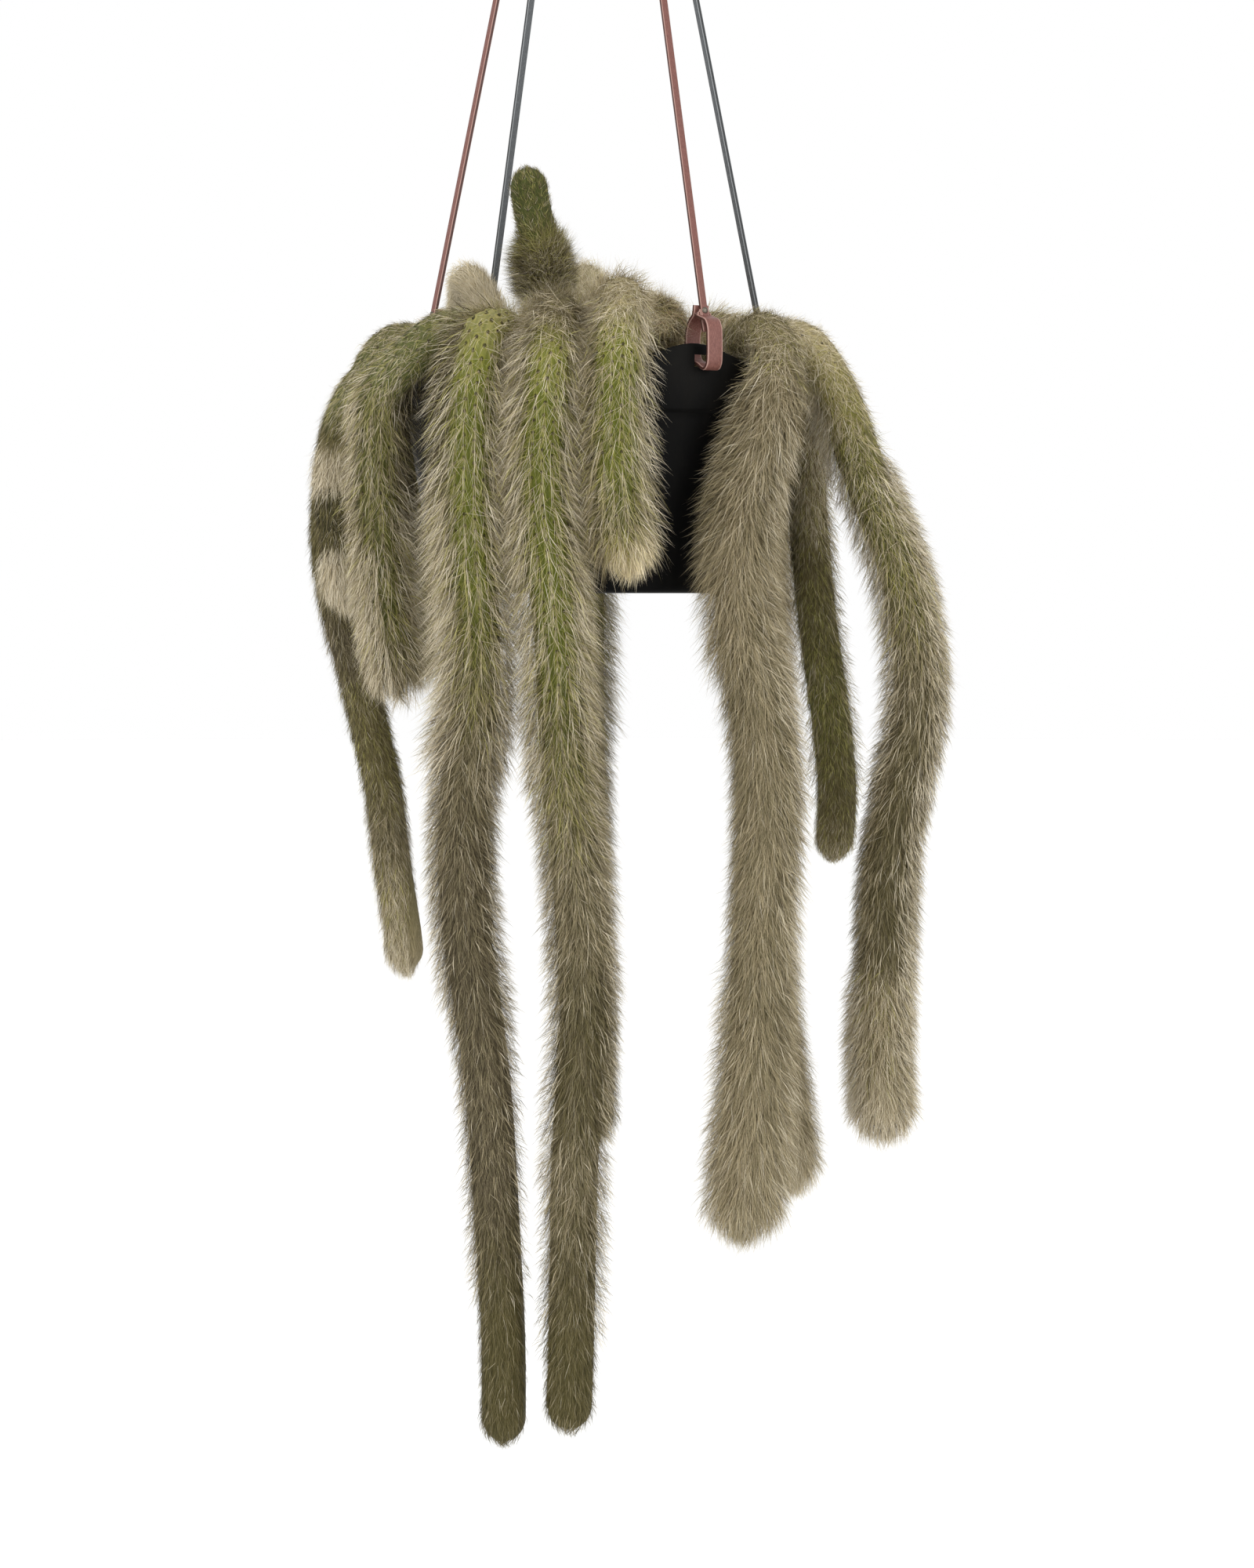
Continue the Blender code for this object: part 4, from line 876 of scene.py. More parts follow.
# Each stem's coat by rows of the front elevation: row, body radius, coat's outer radius, reach of the finest hairs,
# hair length (all mm), coat, density, how openly the hairs stand (1 leaves the green skin and its areoles bare), sideways fan
FUR = {
    "stem_left_tail": [
        (380, 11.0, 18.0, 22, 12, "crown", 1.0, 0.2, 0.80), (412, 11.2, 18.5, 23, 14, "crown", 0.8, 0.5, 0.70),
        (440, 11.4, 19.5, 26, 18, "glow", 0.54, 0.9, 0.56), (520, 11.6, 20.5, 28, 20, "bright", 0.54, 1.0, 0.54),
        (620, 11.6, 22.5, 30, 21, "bright", 0.60, 0.95, 0.54), (740, 11.4, 26.0, 32, 21, "bright", 0.70, 0.9, 0.52),
        (850, 11.2, 25.0, 30, 17, "green", 0.95, 0.5, 0.44), (950, 11.4, 22.5, 27, 14, "grey", 1.05, 0.25, 0.40),
        (1100, 12.0, 20.5, 26, 12, "brown", 1.1, 0.1, 0.38), (1200, 12.0, 20.0, 25, 12, "brown", 1.1, 0.05, 0.36),
        (1300, 11.8, 18.5, 23, 11, "brown", 1.1, 0.0, 0.34), (1400, 11.6, 17.0, 21, 10, "brown", 1.1, 0.0, 0.32),
        (1520, 11.4, 16.4, 20, 9.5, "brown", 1.1, 0.0, 0.32), (1610, 11.2, 15.6, 18.5, 9, "olive", 1.05, 0.0, 0.30),
        (1680, 11.2, 14.6, 17, 8, "leaf", 1.0, 0.0, 0.26), (1780, 11.2, 13.8, 16, 7.5, "leaf", 1.0, 0.0, 0.26),
        (1850, 11.0, 13.6, 15.5, 7.5, "leaf", 1.1, 0.0, 0.30)],
    "stem_center_tail": [
        (380, 11.0, 18.0, 22, 12, "fawn", 1.3, 0.1, 0.80), (418, 11.2, 19.0, 24, 15, "mound", 1.2, 0.3, 0.70),
        (460, 11.6, 20.0, 27, 18, "glow", 0.70, 0.75, 0.54), (530, 11.6, 21.5, 29, 20, "bright", 0.54, 1.0, 0.54),
        (720, 11.6, 23.5, 30, 20, "bright", 0.60, 0.95, 0.54), (830, 11.4, 24.0, 30, 18, "bright", 0.70, 0.85, 0.50),
        (920, 11.4, 23.5, 28, 15, "green", 0.85, 0.6, 0.44), (1000, 11.6, 22.5, 27, 14, "green", 0.98, 0.3, 0.40),
        (1120, 12.0, 21.0, 26, 13, "grey", 1.05, 0.1, 0.38), (1200, 12.0, 20.5, 25, 12, "grey", 1.1, 0.05, 0.36),
        (1300, 12.0, 19.5, 24, 11.5, "olive", 1.1, 0.0, 0.34), (1400, 12.0, 18.6, 23, 11, "olive", 1.1, 0.0, 0.32),
        (1500, 12.0, 18.4, 22.5, 10.5, "grey", 1.1, 0.0, 0.32), (1620, 11.8, 17.6, 21.5, 10, "olive", 1.05, 0.0, 0.30),
        (1700, 11.8, 16.4, 19.5, 9, "leaf", 1.0, 0.0, 0.28), (1790, 11.6, 15.0, 17.5, 8, "leaf", 1.0, 0.0, 0.28),
        (1840, 11.4, 14.6, 17, 8, "leaf", 1.1, 0.0, 0.30)],
    "stem_front_short": [
        (355, 11.0, 18.0, 23, 14, "crown", 1.4, 0.1, 0.80), (402, 11.2, 18.0, 23, 15, "crown", 1.2, 0.25, 0.66),
        (440, 11.3, 17.5, 22, 14, "glow", 0.72, 0.7, 0.54), (500, 11.5, 18.0, 23, 16, "bright", 0.56, 0.95, 0.52),
        (600, 11.6, 19.5, 25, 18, "bright", 0.60, 0.9, 0.52), (660, 11.4, 20.5, 25, 16, "green", 0.80, 0.7, 0.48),
        (692, 11.2, 19.5, 23, 13, "straw", 1.0, 0.3, 0.42), (712, 11.2, 18.0, 21, 11, "yolk", 1.2, 0.1, 0.38),
        (760, 11.0, 17.0, 20, 10, "yolk", 1.3, 0.0, 0.36)],
    "stem_front_bud": [(370, 10.4, 16.5, 21, 14, "blond", 1.5, 0.1, 0.85), (450, 10.4, 17.0, 22, 15, "blond", 1.5, 0.1, 0.80)],
    "stem_left_short": [
        (400, 11.0, 12.6, 15, 7.5, "crown", 1.0, 0.3, 0.70), (438, 11.2, 12.6, 15, 7, "sward", 1.1, 0.35, 0.60),
        (480, 11.2, 13.2, 16.5, 8.5, "sward", 1.1, 0.4, 0.50), (520, 11.4, 16.5, 22, 12, "green", 0.85, 0.6, 0.44),
        (560, 11.3, 18.0, 24, 14, "green", 0.80, 0.7, 0.46), (660, 11.2, 20.5, 26, 15, "green", 0.80, 0.7, 0.48),
        (740, 11.1, 21.5, 27, 15, "green", 0.84, 0.65, 0.46), (800, 11.0, 20.5, 25, 14, "green", 0.95, 0.5, 0.42),
        (855, 10.6, 17.5, 21, 12, "grey", 1.1, 0.2, 0.36), (900, 9.8, 15.5, 18, 10, "cream", 1.2, 0.0, 0.32)],
    "stem_left_arch": [
        (420, 10.2, 11.2, 13, 5.5, "hay", 1.0, 0.3, 0.60), (465, 10.8, 12.0, 14.6, 6.5, "sward", 1.0, 0.35, 0.50),
        (520, 11.2, 13.2, 16, 7, "sward", 1.0, 0.3, 0.42), (562, 11.4, 13.8, 16.5, 7, "dark", 1.0, 0.1, 0.34),
        (582, 11.2, 15.2, 18.5, 10, "cream", 1.1, 0.0, 0.40), (612, 11.2, 15.2, 18.5, 10, "cream", 1.1, 0.0, 0.40),
        (630, 11.4, 13.6, 16, 6.5, "patch", 1.0, 0.1, 0.32), (694, 11.4, 13.6, 16, 6.5, "patch", 1.0, 0.1, 0.32),
        (712, 10.8, 16.4, 20, 12, "cream", 1.1, 0.0, 0.42), (790, 10.6, 16.4, 20, 13, "cream", 1.2, 0.0, 0.42)],
    "stem_left_drop": [
        (430, 9.8, 10.8, 12.6, 5.5, "hay", 1.0, 0.3, 0.60), (480, 10.0, 11.6, 14, 6, "sward", 1.0, 0.3, 0.46), (560, 10.2, 12.8, 15, 6.5, "dark", 1.0, 0.1, 0.32),
        (700, 10.0, 13.2, 15.5, 8, "dark", 1.0, 0.1, 0.32), (820, 9.8, 14.0, 17, 9, "brown", 1.0, 0.1, 0.36),
        (900, 9.8, 13.4, 16.5, 8, "drop", 1.0, 0.1, 0.34), (980, 9.6, 13.2, 16.5, 8, "drop", 1.0, 0.1, 0.34),
        (1060, 9.6, 13.8, 17.5, 9, "grey", 1.0, 0.0, 0.36), (1150, 9.6, 13.6, 17, 9, "hay", 1.0, 0.0, 0.36),
        (1240, 9.4, 13.4, 17, 9.5, "cream", 1.1, 0.0, 0.36)],
    "stem_upright": [
        (200, 9.8, 11.4, 12.8, 4, "fresh", 0.9, 0.4, 0.46), (286, 9.8, 11.6, 13.5, 4.5, "fresh", 0.9, 0.4, 0.46),
        (298, 9.8, 13.0, 17, 7, "fresh", 1.2, 0.3, 0.70), (314, 10.4, 19.0, 24, 11, "moss", 2.4, 0.3, 0.85),
        (334, 11.4, 21.5, 27, 13, "shaded_tuft", 3.0, 0.3, 0.90), (354, 11.6, 21.5, 27, 13, "shaded_tuft", 3.2, 0.25, 0.90), (374, 11.0, 20.0, 25, 13, "shaded_tuft", 3.0, 0.2, 0.80),
        (400, 10.2, 17.0, 21, 12, "crown", 1.0, 0.2, 0.60), (450, 10.2, 14.0, 17, 10, "brown", 1.0, 0.1, 0.34)],
    "stem_back_arch": [
        (300, 8.4, 12.0, 14.5, 7, "pale", 1.3, 0.0, 0.50), (400, 8.6, 12.0, 14.5, 8, "pale", 1.2, 0.0, 0.46),
        (440, 9.0, 14.5, 19, 12, "mound", 1.0, 0.2, 0.44), (560, 9.2, 19.0, 25, 17, "green", 0.8, 0.5, 0.46),
        (850, 9.2, 17.5, 22, 14, "green", 0.88, 0.5, 0.42), (1150, 9.2, 15.5, 19, 11, "brown", 1.1, 0.0, 0.34),
        (1290, 9.0, 14.0, 17, 10, "olive", 1.1, 0.0, 0.32)],
    "stem_right_tail": [
        (395, 10.8, 12.8, 15.5, 9, "hay", 1.1, 0.2, 0.95), (450, 11.4, 15.0, 19, 11, "hay", 1.1, 0.2, 0.85),
        (500, 12.0, 20.5, 26, 14, "tan", 1.1, 0.1, 0.50), (590, 12.4, 24.0, 30, 16, "fawn", 1.1, 0.05, 0.40),
        (700, 12.8, 27.0, 32, 18, "tan", 1.1, 0.05, 0.38), (770, 12.6, 25.5, 30, 17, "tan", 1.1, 0.05, 0.36),
        (860, 12.6, 23.0, 27, 15, "fawn", 1.1, 0.0, 0.34), (1000, 12.6, 22.5, 27, 15, "fawn", 1.1, 0.0, 0.32),
        (1120, 12.4, 21.5, 26, 14, "fawn", 1.1, 0.0, 0.32), (1220, 12.4, 21.5, 26, 14, "fawn", 1.1, 0.0, 0.32),
        (1330, 13.0, 23.5, 28, 15, "fawn", 1.1, 0.0, 0.30), (1440, 14.6, 26.5, 30.5, 17, "tan", 1.1, 0.0, 0.30),
        (1540, 14.4, 26.0, 29.5, 17, "tan", 1.15, 0.0, 0.30), (1600, 12.8, 22.0, 25, 15, "mound", 1.2, 0.0, 0.30)],
    "stem_right_outer": [
        (400, 10.6, 12.4, 14.5, 8, "crown", 1.1, 0.2, 0.90), (450, 10.9, 12.8, 15.5, 9, "crown", 1.0, 0.3, 0.80),
        (520, 11.2, 14.2, 18, 10, "straw", 1.0, 0.3, 0.60), (600, 11.5, 16.0, 21, 12, "green", 0.9, 0.45, 0.50), (660, 11.6, 17.6, 23, 13, "green", 0.9, 0.45, 0.46),
        (740, 11.7, 18.6, 24, 14, "green", 0.95, 0.35, 0.42), (860, 11.8, 19.2, 24.5, 14, "grey", 1.0, 0.2, 0.40),
        (1000, 11.8, 19.2, 24.5, 13, "olive", 1.05, 0.1, 0.38), (1100, 11.8, 18.8, 24, 13, "olive", 1.1, 0.05, 0.38),
        (1210, 11.6, 18.2, 23, 12, "olive", 1.1, 0.0, 0.36), (1255, 11.6, 18.8, 24, 13, "mound", 1.1, 0.0, 0.36),
        (1350, 11.6, 19.6, 25, 14, "mound", 1.1, 0.0, 0.36), (1400, 11.4, 19.5, 24.5, 14, "cream", 1.15, 0.0, 0.36),
        (1470, 10.6, 18.0, 22, 12, "cream", 1.2, 0.0, 0.36)],
    "stem_right_drop": [
        (420, 10.2, 14.0, 17, 9, "mound", 1.0, 0.1, 0.38), (560, 10.2, 14.5, 18, 9, "mound", 1.0, 0.1, 0.36),
        (660, 10.2, 14.0, 17, 8.5, "hay", 1.0, 0.1, 0.34), (720, 10.2, 13.2, 15.5, 7, "drop", 1.0, 0.1, 0.32),
        (900, 10.2, 12.8, 14.8, 6.5, "moss", 1.0, 0.1, 0.30), (1030, 10.2, 12.6, 14.5, 6.5, "drop", 1.0, 0.1, 0.30),
        (1110, 9.8, 12.2, 14, 6.5, "hay", 1.05, 0.0, 0.32)],
    "stem_right_bud": [
        (380, 7.8, 11.5, 15, 9, "hay", 1.2, 0.0, 0.90), (428, 7.8, 11.5, 15, 9, "hay", 1.2, 0.0, 0.80), (438, 7.8, 12.0, 15.5, 10, "rust", 1.4, 0.0, 0.80),
        (500, 7.8, 13.0, 16, 9, "mound", 1.0, 0.1, 0.40)],
    "stem_back_center": [
        (350, 11.0, 14.5, 18.5, 11, "crown", 1.3, 0.1, 0.80), (420, 11.0, 16.0, 20, 12, "crown", 1.0, 0.2, 0.60),
        (500, 11.4, 22.0, 28, 18, "bright", 0.66, 0.8, 0.50), (760, 11.4, 22.5, 28, 17, "green", 0.80, 0.6, 0.46), (1000, 11.6, 21.0, 25, 14, "grey", 1.0, 0.2, 0.36),
        (1300, 11.6, 19.5, 23, 12, "tan", 1.1, 0.0, 0.32), (1460, 11.0, 17.5, 20, 11, "olive", 1.1, 0.0, 0.30)],
    "stem_back_right": [
        (400, 11.0, 18.5, 23, 13, "mound", 1.0, 0.2, 0.44), (700, 11.8, 21.5, 26, 15, "tan", 1.0, 0.1, 0.38),
        (1100, 11.8, 21.0, 25, 14, "tan", 1.05, 0.0, 0.34), (1380, 11.8, 22.0, 26, 14, "tan", 1.1, 0.0, 0.32),
        (1520, 11.4, 20.0, 23, 13, "cream", 1.15, 0.0, 0.32)],
    "stem_back_left": [
        (420, 10.8, 12.0, 14, 6, "hay", 1.0, 0.3, 0.50), (480, 11.2, 13.6, 17, 9, "green", 0.9, 0.4, 0.42),
        (600, 11.4, 19.0, 25, 15, "green", 0.85, 0.6, 0.46), (800, 11.2, 18.5, 23, 14, "green", 0.9, 0.5, 0.44),
        (900, 10.8, 16.5, 20, 12, "cream", 1.1, 0.1, 0.38)],
    "stem_back_short_left": [
        (400, 11.0, 18.5, 23, 13, "mound", 1.0, 0.2, 0.44), (480, 11.4, 22.5, 27, 17, "bright", 0.60, 0.8, 0.48),
        (640, 11.0, 20.0, 24, 13, "straw", 1.0, 0.3, 0.40), (690, 10.8, 17.5, 21, 10, "yolk", 1.2, 0.0, 0.36)],
    "stem_back_short_right": [
        (400, 11.0, 18.5, 23, 13, "mound", 1.0, 0.2, 0.44), (480, 11.4, 22.5, 27, 17, "green", 0.72, 0.7, 0.46),
        (640, 11.0, 20.0, 24, 13, "green", 1.0, 0.3, 0.40), (700, 10.8, 17.5, 21, 10, "yolk", 1.2, 0.0, 0.36)],
}
# Coats that hang fuller on one side: stem, then row and how much further the coat reaches to the right than to the left, mm
ASIDE = {
    "stem_center_tail": [(1200, 0.0), (1300, 1.5), (1480, 3.0), (1600, 2.0), (1700, 0.5)],
    "stem_upright": [(288, 0.0), (318, -3.4), (376, -3.4), (410, 0.0)],
    "stem_left_short": [(470, 0.0), (500, -2.6), (620, -2.6), (700, -0.5), (760, 0.0)],
    "stem_left_tail": [(410, 1.0), (450, 4.2), (590, 4.2), (680, 1.5), (760, 0.0), (1180, 0.0), (1300, 1.5), (1500, 1.5), (1620, 0.0)],
    "stem_front_short": [(400, -0.5), (450, -2.5), (620, -2.0), (690, 0.0)],
}
# Fringes of longer hair: stem, first row, last row, direction of the side in plan, coat, hairs per mm, reach and length in mm
FRINGES = [
    ("stem_left_tail", 425, 640, (-1.0, -0.15), "cream", 5, 31, 24), ("stem_left_tail", 425, 640, (-1.0, 0.7), "shadow", 24, 31, 22), ("stem_left_tail", 450, 630, (-1.0, 0.2), "shadow", 9, 28, 20),
    ("stem_left_short", 470, 660, (1.0, 0.6), "shadow", 24, 27, 18), ("stem_left_tail", 610, 960, (-1.0, -0.10), "cream", 20, 34, 25),
    ("stem_left_tail", 425, 960, (1.0, -0.15), "cream", 17, 29, 22),
    ("stem_center_tail", 420, 980, (-1.0, -0.15), "cream", 16, 29, 22), ("stem_center_tail", 420, 920, (1.0, -0.15), "cream", 14, 28, 21),
    ("stem_front_short", 425, 690, (1.0, -0.2), "cream", 5, 30, 22), ("stem_front_short", 430, 690, (-1.0, -0.15), "tan", 13, 27, 20),
    ("stem_front_short", 690, 740, (1.0, -0.5), "yolk", 40, 24, 14),
    ("stem_left_short", 500, 690, (-1.0, -0.25), "cream", 10, 22, 15), ("stem_left_short", 690, 890, (-0.9, -0.6), "cream", 30, 23, 16),
    ("stem_left_short", 490, 650, (1.0, -0.1), "tan", 4, 25, 18), ("stem_left_short", 630, 870, (1.0, -0.1), "cream", 20, 31, 21),
    ("stem_left_arch", 700, 800, (-0.3, -1.0), "cream", 10, 22, 16), ("stem_left_arch", 585, 615, (-0.6, -1.0), "cream", 10, 19, 12),
    ("stem_right_tail", 500, 830, (-1.0, -0.2), "tan", 14, 32, 21), ("stem_right_tail", 540, 1220, (1.0, -0.2), "cream", 13, 29, 19),
    ("stem_right_tail", 1230, 1570, (-1.0, 0.0), "cream", 10, 31, 19), ("stem_right_tail", 1230, 1570, (1.0, 0.0), "cream", 13, 31, 19),
    ("stem_right_outer", 600, 1080, (1.0, -0.45), "cream", 20, 23, 15), ("stem_right_outer", 480, 1000, (-1.0, -0.1), "cream", 12, 26, 17),
    ("stem_right_outer", 1080, 1470, (1.0, -0.25), "cream", 30, 25, 16), ("stem_right_outer", 960, 1230, (-1.0, -0.5), "tan", 14, 21, 13), ("stem_right_outer", 1240, 1470, (-1.0, -0.2), "cream", 26, 26, 16),
    ("stem_right_tail", 450, 560, (-0.2, -1.0), "pale", 0.5, 27, 32), ("stem_right_tail", 530, 640, (0.4, -1.0), "pale", 0.5, 27, 32),
    ("stem_right_drop", 560, 1000, (1.0, -0.2), "tan", 5, 20, 12), ("stem_right_drop", 560, 1000, (-1.0, -0.2), "tan", 5, 20, 12),
    ("stem_left_tail", 940, 1300, (1.0, 0.0), "cream", 11, 27, 16), ("stem_left_tail", 940, 1260, (-1.0, 0.0), "cream", 11, 26, 16),
    ("stem_center_tail", 900, 1260, (1.0, 0.0), "cream", 12, 28, 17), ("stem_center_tail", 960, 1500, (-1.0, 0.0), "cream", 11, 26, 16),
    ("stem_center_tail", 1240, 1680, (1.0, 0.0), "cream", 11, 26, 15), ("stem_left_tail", 1260, 1640, (1.0, 0.0), "cream", 8, 23, 13),
    ("stem_left_tail", 1240, 1640, (-1.0, 0.0), "tan", 6, 22, 13), ("stem_center_tail", 1480, 1700, (-1.0, 0.0), "tan", 7, 23, 14),
    ("stem_back_arch", 500, 900, (-1.0, 0.6), "cream", 6, 26, 19), ("stem_back_arch", 500, 900, (0.6, 1.0), "tan", 6, 26, 19),
    ("stem_back_center", 460, 900, (-1.0, 0.4), "tan", 8, 29, 20), ("stem_back_center", 460, 900, (1.0, 0.4), "cream", 8, 29, 20),
    ("stem_back_right", 480, 1100, (-0.7, 0.8), "tan", 7, 27, 18), ("stem_back_right", 480, 1100, (1.0, 0.5), "cream", 7, 27, 18),
]
AREOLE = 0.0056
RIBS = 14
HAIR_TRIANGLES = 810_000

# hair material: the map's across value picks the shade, its up value runs from the root to the tip; the darker root
# colour is partly painted shade deep in the coat
hair_look = Look("stem_hair", roughness=0.62, specular=0.25)
split = hair_look.node("ShaderNodeSeparateXYZ", {0: hair_look.node("ShaderNodeUVMap", uv_map="OFBake").outputs[0]})
root_stops_and_shade, stops_tip = [], []
for f, key in enumerate(ORDER):
    for k in range(3):
        where = (3 * f + k + 0.5) / SHADES
        root_stops_and_shade.append((where, linear(*FAMILIES[key][k])))
        stops_tip.append((where, linear(*FAMILIES[key][3 + k])))
root_colour_and_shade = hair_look.ramp(split.outputs[0], root_stops_and_shade)
tip_colour = hair_look.ramp(split.outputs[0], stops_tip)
hair_look.to("Base Color", hair_look.mix(hair_look.math("POWER", split.outputs[1], 0.8, clamp=True), root_colour_and_shade, tip_colour))
hair_look.to("Roughness", hair_look.span(split.outputs[1], 0.0, 1.0, 0.72, 0.52))


def skin_look(name, stops, felted):
    """Ribbed green skin with a dark areole every few millimetres along each rib, or where the coat is closed a felt of
    fine strands. The map counts ribs across and areoles up. Both lists give stops up the stem."""
    look = Look(name, roughness=0.66, specular=0.2)
    uv = look.node("ShaderNodeUVMap", uv_map="rib_map").outputs[0]
    split = look.node("ShaderNodeSeparateXYZ", {0: uv})
    rib, row = split.outputs[0], split.outputs[1]
    odd = look.math("MULTIPLY", look.math("MODULO", look.math("FLOOR", rib), 2.0), 0.5)
    x = look.math("SUBTRACT", look.math("FRACT", rib), 0.5)
    y = look.math("SUBTRACT", look.math("FRACT", look.math("ADD", row, odd)), 0.5)
    away = look.math("SQRT", look.math("ADD", look.math("POWER", look.math("ABSOLUTE", look.math("MULTIPLY", x, 0.9)), 2.0), look.math("POWER", look.math("ABSOLUTE", y), 2.0)))
    length = stops[-1][0]
    ground = look.ramp(look.math("DIVIDE", row, length), [(spot / length, linear(*c)) for spot, c in stops])
    felt = look.ramp(look.math("DIVIDE", row, length), [(spot / length, (f, f, f, 1)) for spot, f in felted])

    # open skin
    patch = look.noise(look.place((1, 1, 0.5)), 220.0, 4.0, 0.6)
    fine = look.noise(look.place(), 1400.0, 2.0)
    skin = look.mix(look.span(patch, 0.3, 0.7, 0.0, 0.5), ground, look.mix(1.0, ground, (0.62, 0.68, 0.5, 1), "MULTIPLY"))
    # the grooves between the ribs are darkened: painted shade
    valley_shade = look.span(look.math("ABSOLUTE", x), 0.26, 0.5, 0.0, 0.5)
    skin = look.mix(valley_shade, skin, look.mix(1.0, ground, (0.42, 0.48, 0.34, 1), "MULTIPLY"))
    skin = look.mix(look.span(away, 0.24, 0.38, 0.4, 0.0), skin, look.mix(1.0, ground, (1.45, 1.4, 1.1, 1), "MULTIPLY"))
    skin = look.mix(look.span(away, 0.13, 0.24, 0.85, 0.0), skin, linear(38, 33, 18))

    # felt: fine strands that cross as they run down the stem, lighter strands over darker gaps of painted shade between
    # them
    strands = []
    for lean, seed in ((0.9, 0.0), (-0.9, 9.0), (0.15, 4.0)):
        turn = look.math("MULTIPLY", look.math("ADD", look.math("MULTIPLY", rib, 2 * math.pi / RIBS), look.math("MULTIPLY", row, AREOLE * lean / 0.026)), 1.0)
        where = look.node("ShaderNodeCombineXYZ", {
            0: look.math("ADD", look.math("MULTIPLY", look.math("COSINE", turn), 26.0), seed),
            1: look.math("MULTIPLY", look.math("SINE", turn), 26.0), 2: look.math("MULTIPLY", row, 0.62)}).outputs[0]
        strands.append(look.noise(where, 1.0, 3.0, 0.6))
    weave = look.math("MAXIMUM", look.math("MAXIMUM", strands[0], strands[1]), strands[2])
    felt_gap_shade = look.mix(1.0, ground, (0.50, 0.49, 0.44, 1), "MULTIPLY")
    felt_light = look.mix(1.0, ground, (1.42, 1.42, 1.46, 1), "MULTIPLY")
    cloth = look.mix(look.span(weave, 0.46, 0.72), felt_gap_shade, felt_light)
    look.to("Base Color", look.mix(felt, skin, cloth))
    raised = look.math("ADD", look.math("MULTIPLY", look.span(away, 0.0, 0.4, 1.0, 0.0), look.math("SUBTRACT", 1.0, felt)), look.math("MULTIPLY", look.math("MULTIPLY", weave, felt), 1.6))
    look.bump(look.math("ADD", raised, look.math("MULTIPLY", fine, 0.2)), 0.6, 0.0008)
    return look.mat


def lookups(name, line, base_r, radius):
    """Everything about one stem by distance along it: place, frame, row, skin radius, fur, length, shares, density."""
    fine = smooth_route(line, 0.0025)
    run = np.concatenate([[0], np.cumsum(np.linalg.norm(np.diff(fine, axis=0), axis=1))])
    tangent = unit(np.gradient(fine, axis=0))
    normal = np.zeros_like(fine)
    first = np.array([0.0, -1.0, 0.0])
    first = first - tangent[0] * (first @ tangent[0])
    normal[0] = first / np.linalg.norm(first)
    for k in range(1, len(fine)):
        v = normal[k - 1] - tangent[k] * (normal[k - 1] @ tangent[k])
        normal[k] = v / np.linalg.norm(v)
    rows = row_of(fine)
    table = FUR[name]
    keys = np.array([t[0] for t in table], float)
    get = lambda col: np.interp(rows, keys, [t[col] for t in table])
    share = np.zeros((len(table), len(ORDER)))
    skin = np.zeros((len(table), 3))
    for k, t in enumerate(table):
        mix, colour = COATS[t[5]]
        for key, value in mix.items():
            share[k, ORDER.index(key)] = value
        skin[k] = colour
    grown = np.clip((base_r + (radius - base_r) * np.clip(run / 0.06, 0, 1)) / radius, 0, 1)
    core = get(1) / 1000 * grown
    length = run[-1]
    cap = core[-1] * 1.15
    x = np.clip((run - (length - cap)) / cap, 0, 1)
    return {
        "line": fine, "run": run, "length": length, "cap": cap, "t": tangent, "n": normal, "b": np.cross(tangent, normal), "row": rows,
        "core": core, "skin_r": core * np.sqrt(1 - x**2), "half": get(2) / 1000, "halo": get(3) / 1000, "hair": get(4) / 1000,
        "density": get(6), "open": get(7), "fan": get(8), "aside": np.interp(rows, *zip(*ASIDE.get(name, [(0, 0.0), (2000, 0.0)]))) / 1000,
        "share": np.stack([np.interp(rows, keys, share[:, k]) for k in range(len(ORDER))], 1),
        "skin": np.stack([np.interp(rows, keys, skin[:, k]) for k in range(3)], 1),
    }


def at(stem, s, key):
    """A stem's value at the distances s along it."""
    v = stem[key]
    if v.ndim == 1:
        return np.interp(s, stem["run"], v)
    return np.stack([np.interp(s, stem["run"], v[:, k]) for k in range(v.shape[1])], 1)


def skin_profile(stem, s):
    """(radius, share of the tip's rounding from 0 to 1) of the skin at the distances s."""
    x = np.clip((s - (stem["length"] - stem["cap"])) / stem["cap"], 0, 1)
    return at(stem, s, "core") * np.sqrt(1 - x**2), x


